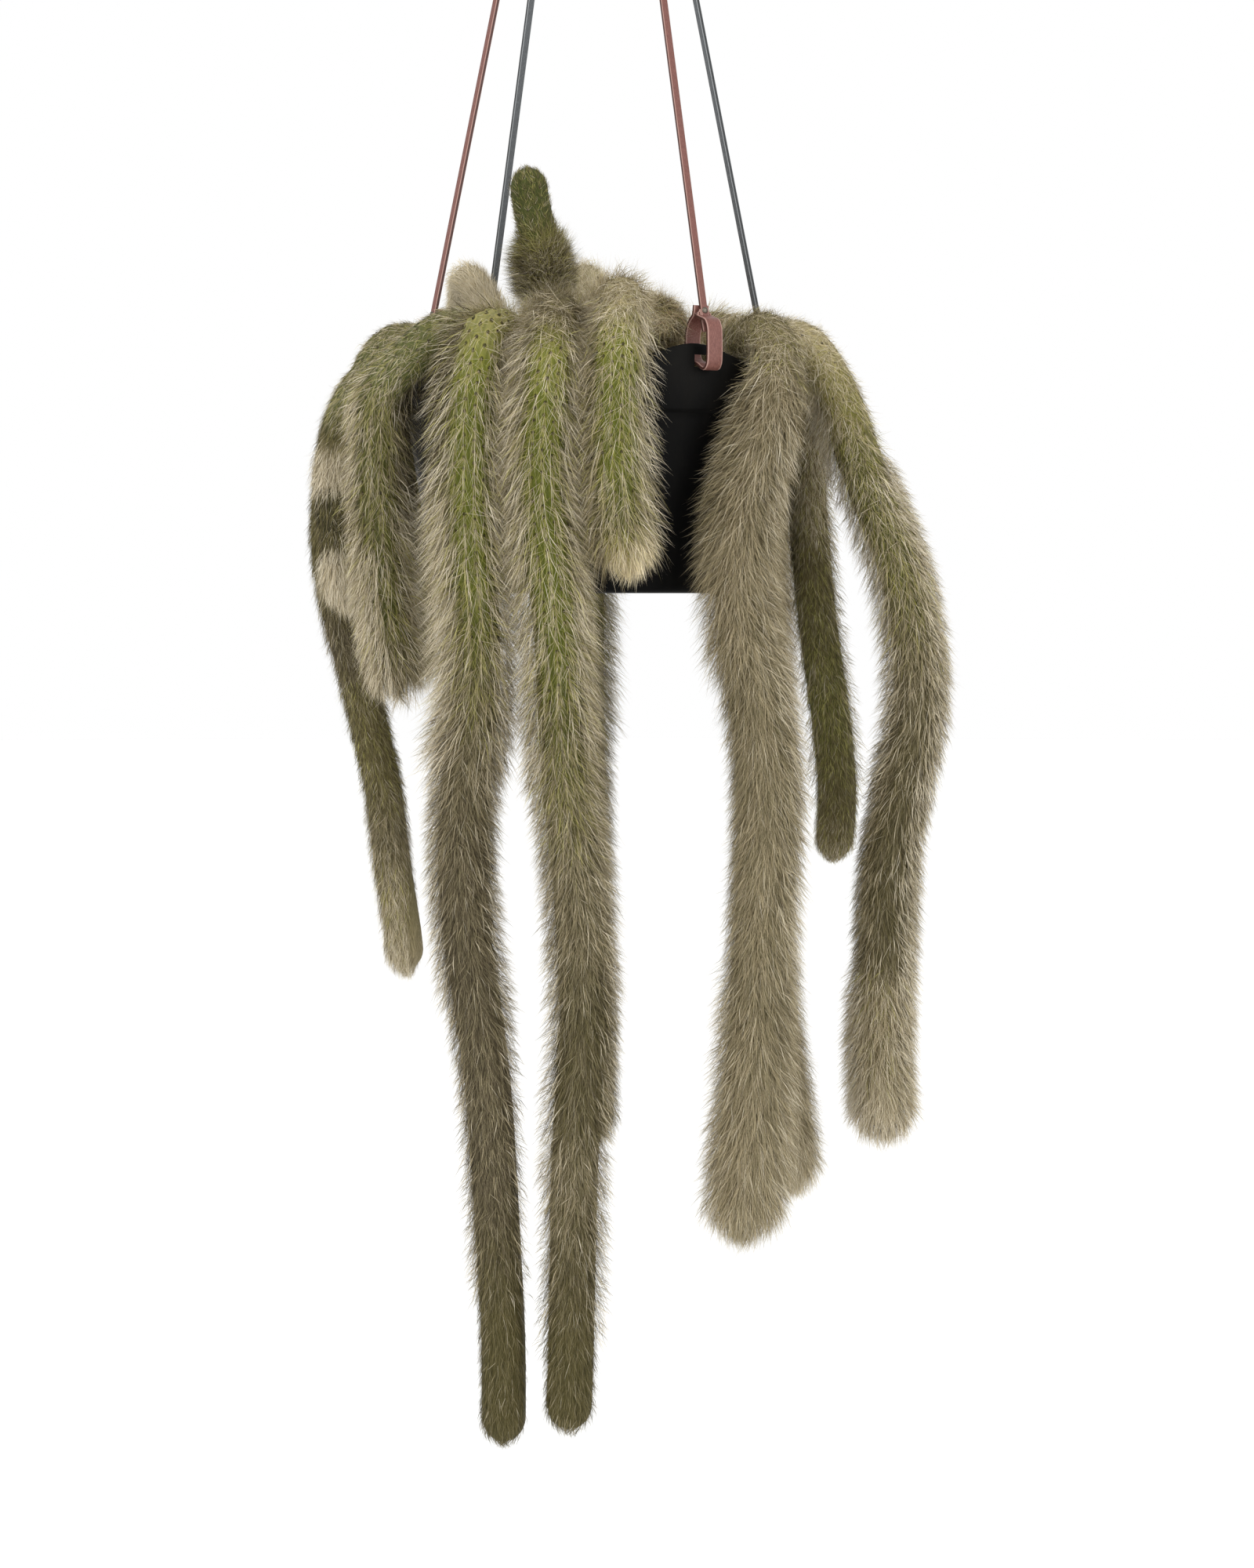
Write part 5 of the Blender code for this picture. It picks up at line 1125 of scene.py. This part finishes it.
def skin_mesh(name, stem):
    """The ribbed body of a stem, closed at both ends."""
    segments = RIBS * 2
    length = stem["length"]
    rings = np.linspace(0, length - 0.013, max(6, int((length - 0.013) / 0.0068)))
    rings = np.concatenate([rings, length - 0.013 * np.array([0.74, 0.52, 0.34, 0.2, 0.1, 0.035])])
    s = np.repeat(rings, segments)
    step = np.tile(np.arange(segments), len(rings))
    angle = step / segments * 2 * math.pi
    radius, _ = skin_profile(stem, s)
    radius = radius * np.where(step % 2 == 1, 1.01, 0.965)
    out = unit(at(stem, s, "n")) * np.cos(angle)[:, None] + unit(at(stem, s, "b")) * np.sin(angle)[:, None]
    verts = at(stem, s, "line") + out * radius[:, None]
    verts = np.vstack([verts, stem["line"][-1] + stem["t"][-1] * 0.0002, stem["line"][0] - stem["t"][0] * 0.0006])
    k = np.arange(len(rings) - 1)[:, None] * segments
    j = np.arange(segments)[None, :]
    a, b = (k + j).ravel(), (k + (j + 1) % segments).ravel()
    tris = np.concatenate([np.stack([a, b, b + segments], 1), np.stack([a, b + segments, a + segments], 1)])
    last = (len(rings) - 1) * segments
    j = np.arange(segments)
    tris = np.concatenate([tris, np.stack([last + j, last + (j + 1) % segments, np.full(segments, len(verts) - 2)], 1),
                           np.stack([(j + 1) % segments, j, np.full(segments, len(verts) - 1)], 1)])
    u = np.concatenate([step / 2.0, [RIBS / 2, RIBS / 2]])
    v = np.concatenate([s / AREOLE, [length / AREOLE, 0.0]])
    corner = tris.ravel()
    uv = np.stack([u[corner], v[corner]], 1).reshape(-1, 3, 2)
    wide = uv[:, :, 0].max(1) - uv[:, :, 0].min(1) > RIBS / 2
    for c in range(3):  # the seam's faces count on past the last rib
        low = wide & (uv[:, c, 0] < RIBS / 2)
        uv[low, c, 0] += RIBS
    marks = np.linspace(0, length, 30)
    stops = [(m / AREOLE, tuple(c)) for m, c in zip(marks, at(stem, marks, "skin"))]
    felted = [(m / AREOLE, float(np.clip(1.15 - 1.9 * f, 0, 1))) for m, f in zip(marks, at(stem, marks, "open"))]
    obj = triangle_mesh(name + "_skin", verts, tris, skin_look(name + "_skin", stops, felted))
    layer = obj.data.uv_layers.new(name="rib_map")
    layer.uv.foreach_set("vector", uv.reshape(-1, 2).astype(np.float32).ravel())
    face_out(obj)
    obj.data.shade_smooth()
    slot = "stem_olive" if name in ("stem_left_drop", "stem_right_drop", "stem_upright") else "stem_tan" if name in (
        "stem_right_tail", "stem_back_right", "stem_back_arch", "stem_right_bud") else "stem_green"
    return stands_for(obj, name, slot=slot)


def wall_radius(z):
    """The pot's outer radius at a height."""
    return np.interp(z, [BASE_Z, BASE_Z + 0.004, RIM_Z - POT_BAND, RIM_Z - POT_BAND + 0.001, RIM_Z], [POT_BASE_R - 0.003, POT_BASE_R, POT_BAND_R, POT_RIM_R, POT_RIM_R])


def spread(stem, weight, count, rng):
    """Distances along the stem, drawn by weight."""
    c = np.concatenate([[0], np.cumsum((weight[1:] + weight[:-1]) / 2 * np.diff(stem["run"]))])
    return np.interp(rng.uniform(0, 1, count), c / c[-1], stem["run"])


def strand(stem, s, angle, long, stand, fan, droop, bow, rng):
    """Root, middle and tip of each hair, and the way out from the stem. Hairs lean towards the stem's tip."""
    skin_r, x = skin_profile(stem, s)
    n, b, t = unit(at(stem, s, "n")), unit(at(stem, s, "b")), unit(at(stem, s, "t"))
    radial = n * np.cos(angle)[:, None] + b * np.sin(angle)[:, None]
    sideways = np.cross(t, radial)
    level = np.sqrt(1 - x**2)
    down = t * level[:, None] - radial * x[:, None]
    out = t * x[:, None] + radial * level[:, None]
    rise = np.clip(stand / long, 0.03, 0.93)
    flat = np.sqrt(1 - rise**2)
    d = down * (flat * np.cos(fan))[:, None] + sideways * (flat * np.sin(fan))[:, None] + out * rise[:, None]
    root = at(stem, s, "line") + radial * (skin_r * 0.97 - 0.0001)[:, None]
    tip = root + d * long[:, None]
    tip[:, 2] -= droop * long
    mid = root + (tip - root) * 0.5 + out * (bow * long)[:, None]
    mid[:, 2] += 0.35 * droop * long
    mid += rng.normal(0, 0.02, (len(s), 3)) * long[:, None]
    return root, mid, tip, unit(out * 0.55 + radial * 0.45)


def clear_of_pot(root, mid, tip):
    """Hairs that neither enter the pot's wall nor the soil."""
    keep = np.ones(len(root), bool)
    root_r = np.hypot(root[:, 0], root[:, 1])
    outside = (root_r > POT_BASE_R + 0.004) & (root[:, 2] < RIM_Z)
    inside = (root_r < POT_RIM_R - 0.002) & (root[:, 2] < RIM_Z + 0.012) & (root[:, 2] > SOIL_Z - 0.01)
    for p in (mid, tip):
        r = np.hypot(p[:, 0], p[:, 1])
        keep &= ~((r < wall_radius(p[:, 2]) + 0.0006) & (p[:, 2] > BASE_Z - 0.0005) & (p[:, 2] < RIM_Z + 0.0005) & outside)
        keep &= ~((p[:, 2] < RIM_Z - 0.001) & inside & (r > POT_RIM_R - 0.004))
        keep &= ~((p[:, 2] < SOIL_Z) & (r < POT_RIM_R))
    return keep


def hair_mesh(name, stem, triangles, seed):
    """A stem's hair: short underfur, the coat over it, finer hair that stands proud, long wild hairs, fringes and the areoles."""
    rng = np.random.default_rng(seed)
    length = stem["length"]
    openly = stem["open"]
    around = stem["density"] * np.maximum(stem["core"], 0.004)
    step = np.diff(stem["run"])
    fringe = []
    for who, low, high, direction, coat, per_mm, reach, long in FRINGES:
        if who == name:
            within = np.clip((stem["row"] - low) / 50 + 0.5, 0, 1) * np.clip((high - stem["row"]) / 50 + 0.5, 0, 1) + 1e-9
            count = int(np.sum(within[1:] * step) * 1000 * per_mm)
            fringe.append((count, within, direction, coat, reach / 1000, long / 1000))
    left = triangles - 2 * sum(f[0] for f in fringe)
    wild = openly * stem["hair"]
    wild_count = int(np.sum(wild[1:] * step) * 1000 * 70)
    left -= 2 * wild_count
    jobs = [("under", int(left * 0.13), around * (1 - 0.85 * openly)), ("coat", int(left * 0.44), around), ("curl", int(left * 0.14), around),
            ("down", int(left * 0.15), around), ("wild", wild_count, wild + 1e-6)] + [("fringe", f[0], f[1]) for f in fringe]
    extras = iter(fringe)
    phase = rng.uniform(0, 2 * math.pi, 3)
    parts = []
    for kind, count, weight in jobs:
        extra = next(extras) if kind == "fringe" else None
        if count < 1:
            continue
        s = spread(stem, weight, count, rng)
        snap = (0.12 + 0.85 * at(stem, s, "open")) * (0.6 if kind == "under" else 1.0)
        rib = rng.integers(0, RIBS, count)
        offset = 0.5 * (1 - rib % 2)
        snapped = (np.floor(s / AREOLE) + offset) * AREOLE
        s = np.clip(np.where(rng.uniform(0, 1, count) < snap, snapped + rng.normal(0, 0.0006, count), s), 0.0, length - 0.0001)
        angle = (rib + 0.5) / RIBS * 2 * math.pi + np.where(rng.uniform(0, 1, count) < snap, rng.normal(0, 0.035, count), rng.uniform(-0.5, 0.5, count) * 2 * math.pi / RIBS)
        n, b = unit(at(stem, s, "n")), unit(at(stem, s, "b"))
        if kind == "fringe":  # roots on the side that faces the direction
            d = np.array([extra[2][0], extra[2][1], 0.0])
            d /= np.linalg.norm(d)
            aim = np.arctan2(b @ d, n @ d) + rng.normal(0, 0.42, count)
            whole = 2 * math.pi / RIBS
            snapped = (np.round(aim / whole - 0.5) + 0.5) * whole
            angle = np.where(rng.uniform(0, 1, count) < 0.6 * snap, snapped + rng.normal(0, 0.04, count), aim)
        core, half, halo, hair, fan_size, bare = (at(stem, s, k) for k in ("core", "half", "halo", "hair", "fan", "open"))
        right = n[:, 0] * np.cos(angle) + b[:, 0] * np.sin(angle)
        half = half + at(stem, s, "aside") * right
        halo = halo + at(stem, s, "aside") * right
        full = np.maximum(half - core, 0.001)
        fan = rng.normal(0, 1, count) * fan_size
        droop = np.zeros(count)
        bow = np.zeros(count)
        if kind == "under":
            long = hair * rng.uniform(0.35, 0.6, count)
            stand = full * rng.uniform(0.08, 0.40, count)
            width = rng.uniform(0.00028, 0.00042, count)
        elif kind in ("coat", "curl"):
            lean = rng.beta(2.0, 2.0, count)
            long = hair * rng.uniform(0.75, 1.15, count) * (1.1 if kind == "curl" else 1.0) * (1 - 0.40 * bare)
            stand = full * ((0.16 if kind == "coat" else 0.34) + 0.34 * bare + 0.84 * lean)
            width = rng.uniform(0.00019, 0.00031, count) * (1.0 if kind == "coat" else 0.92) * (1 - 0.2 * bare)
            bow = rng.uniform(0.02, 0.12, count)
            droop = rng.uniform(0.0, 0.12, count) * (hair > 0.009)
        elif kind == "down":
            long = hair * rng.uniform(0.95, 1.30, count)
            stand = (halo - core) * rng.uniform(0.55, 1.0, count)
            width = rng.uniform(0.00014, 0.00022, count)
            fan = fan * 1.2
        elif kind == "wild":
            long = hair * rng.uniform(1.0, 1.6, count)
            stand = (halo - core) * rng.uniform(0.45, 1.15, count)
            width = rng.uniform(0.00017, 0.00027, count)
            bow = rng.normal(0.06, 0.08, count)
            droop = rng.uniform(0.0, 0.25, count)
        else:
            long = extra[5] * rng.uniform(0.60, 1.12, count)
            stand = (extra[4] - core) * (0.22 + 0.82 * rng.beta(1.8, 1.6, count))
            width = rng.uniform(0.00019, 0.00030, count)
            bow = rng.uniform(0.0, 0.10, count)
            droop = rng.uniform(0.03, 0.18, count)
            fan = rng.normal(0, 0.28, count)
        root, mid, tip, out = strand(stem, s, angle, long, stand, fan, droop, bow, rng)
        keep = clear_of_pot(root, mid, tip)
        share = at(stem, s, "share")
        if kind == "fringe":
            other = np.zeros(len(ORDER))
            for key, value in COATS[extra[3]][0].items():
                other[ORDER.index(key)] = value
            share = share * 0.2 + other * 0.8
        elif kind in ("wild", "down"):
            # proud and wild hairs take more of the pale families: partly their own paler colour, partly painted light
            # for the bright fringe with light through it
            share = share * (0.8 - 0.4 * bare)[:, None]
            share[:, ORDER.index("C")] += 0.08 + 0.26 * bare
            share[:, ORDER.index("T")] += 0.12 + 0.14 * bare
        pick = np.minimum((share.cumsum(1) / share.sum(1, keepdims=True) < rng.uniform(0, 1, (count, 1))).sum(1), len(ORDER) - 1)
        cloud = sum(np.sin(s * f + angle * g + ph) for f, g, ph in zip((55, 130, 260), (1, 2, 3), phase)) / 3
        # each kind of hair gets a base shade, and hairs that stand proud a lighter one: painted shade deep in the coat
        # and painted light on the proud hairs
        depth_shade = {"under": -0.16, "coat": 0.0, "curl": 0.06, "down": 0.14, "wild": 0.14, "fringe": 0.04}[kind]
        level = np.clip(0.46 + depth_shade + 0.14 * cloud + 0.22 * (stand / full - 0.6) + rng.normal(0, 1, count) * (0.17 + 0.11 * bare), 0, 1)
        tone = (3 * pick + 0.5 + 2 * level) / SHADES
        parts.append([kind in ("under", "coat", "down")] + [a[keep] for a in (root, mid, tip, out, width, tone, rng.normal(0, 0.7, count))])

    all_v, all_t, all_uv, all_n, base = [], [], [], [], 0
    for simple, root, mid, tip, out, width, tone, roll in parts:
        count = len(root)
        d = unit(tip - root)
        flat = unit(np.cross(d, out))
        up = np.cross(flat, d)
        side = flat * np.cos(roll)[:, None] + up * np.sin(roll)[:, None]
        face = np.cross(side, d)
        face *= np.sign((face * out).sum(1, keepdims=True) + 1e-9)
        shade = unit(unit(out - d * (out * d).sum(1, keepdims=True)) * 0.7 + out * 0.35 + face * 0.3)
        half = side * (width / 2)[:, None]
        low, mid_v, high, e = 0 * tone + 0.04, 0 * tone + 0.5, 0 * tone + 0.96, 0.0035
        if simple:
            i = np.arange(count) * 3 + base
            v = np.stack([root - half, root + half, tip], 1).reshape(-1, 3)
            t = np.stack([i, i + 1, i + 2], 1)
            uv = np.stack([np.stack([tone - e, low], 1), np.stack([tone + e, low], 1), np.stack([tone, high], 1)], 1)
            flip = (np.cross(2 * half, tip - root) * out).sum(1) < 0
            t[flip] = t[flip][:, [1, 0, 2]]
        else:
            i = np.arange(count) * 4 + base
            v = np.stack([root, mid - half, mid + half, tip], 1).reshape(-1, 3)
            t = np.stack([np.stack([i, i + 2, i + 1], 1), np.stack([i + 1, i + 2, i + 3], 1)], 1)
            uv = np.stack([np.stack([tone, low], 1), np.stack([tone - e, mid_v], 1), np.stack([tone + e, mid_v], 1), np.stack([tone, high], 1)], 1)
            flip = (np.cross(half, d) * out).sum(1) < 0
            t[flip] = t[flip][:, :, [0, 2, 1]]
            t = t.reshape(-1, 3)
        all_v.append(v)
        all_t.append(t)
        all_uv.append(uv.reshape(-1, 2))
        all_n.append(np.repeat(shade, 3 if simple else 4, axis=0))
        base += len(v)
    rows, ribs = np.meshgrid(np.arange(int(length / AREOLE) + 1), np.arange(RIBS), indexing="ij")
    rows, ribs = rows.ravel(), ribs.ravel()
    s = (rows + 0.5 * (1 - ribs % 2)) * AREOLE
    bare = at(stem, np.clip(s, 0, length), "open")
    often = np.clip(bare * 2.0 - 0.4, 0, 1) * np.interp(at(stem, np.clip(s, 0, length), "row"), [480, 640], [0.95, 0.45])
    shown = (s > 0.004) & (s < length - 0.006) & (rng.uniform(0, 1, len(s)) < often)
    s, angle = s[shown], (ribs[shown] + 0.5) / RIBS * 2 * math.pi
    if len(s):
        skin_r, _ = skin_profile(stem, s)
        n, b, t = unit(at(stem, s, "n")), unit(at(stem, s, "b")), unit(at(stem, s, "t"))
        radial = n * np.cos(angle)[:, None] + b * np.sin(angle)[:, None]
        sideways = np.cross(t, radial)
        foot = at(stem, s, "line") + radial * (skin_r * 0.985)[:, None]
        size = rng.uniform(0.00055, 0.00085, len(s))
        ring = [foot + (t * math.cos(a) * 1.15 + sideways * math.sin(a)) * size[:, None] for a in np.arange(5) * 2 * math.pi / 5]
        v = np.stack(ring + [foot + (radial * 0.75 + t * 0.15) * size[:, None]], 1)
        i = np.arange(len(s))[:, None] * 6 + base
        t = np.concatenate([np.stack([i[:, 0] + (j + 1) % 5, i[:, 0] + j, i[:, 0] + 5], 1) for j in range(5)])
        flip = (np.cross(v[0, 1] - v[0, 0], v[0, 5] - v[0, 0]) @ radial[0]) > 0
        all_t.append(t[:, [1, 0, 2]] if flip else t)
        all_v.append(v.reshape(-1, 3))
        tone = (3 * ORDER.index("A") + 0.5 + 2 * rng.uniform(0, 1, len(s))) / SHADES
        corner = np.array([(-0.003, 0.05), (0.003, 0.05), (0.003, 0.2), (0.0, 0.35), (-0.003, 0.2), (0.0, 0.8)])
        all_uv.append((np.stack([tone, 0 * tone], 1)[:, None, :] + corner[None]).reshape(-1, 2))
        all_n.append(np.repeat(radial, 6, axis=0))
        base += 6 * len(s)
    verts, tris, uv, normals = np.vstack(all_v), np.vstack(all_t), np.vstack(all_uv), np.vstack(all_n)
    verts = np.clip(verts, np.array(cad_low) - (0.0175, 0.0165, 0.030), np.array(cad_high) + (0.0175, 0.0165, 0.030))
    obj = triangle_mesh(name + "_hair", verts, tris, hair_look.mat, uv, normals=normals)
    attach(obj, "root")
    return len(tris)


routes = stem_routes()
stems = {name: lookups(name, *routes[name]) for name in STEMS}
share_of = {}
for name, stem in stems.items():
    area = np.sum(stem["density"][1:] * (stem["core"][1:] + 0.3 * stem["half"][1:]) * np.diff(stem["run"]))
    share_of[name] = float(area) * (0.75 if name.startswith("stem_back") and name != "stem_back_arch" else 1.0)
grown = 0
for k, (name, stem) in enumerate(stems.items()):
    skin_mesh(name, stem)
    grown += hair_mesh(name, stem, HAIR_TRIANGLES * share_of[name] / sum(share_of.values()), 100 + k)

# ---------------------------------------------------------------- the end
bpy.context.view_layer.update()
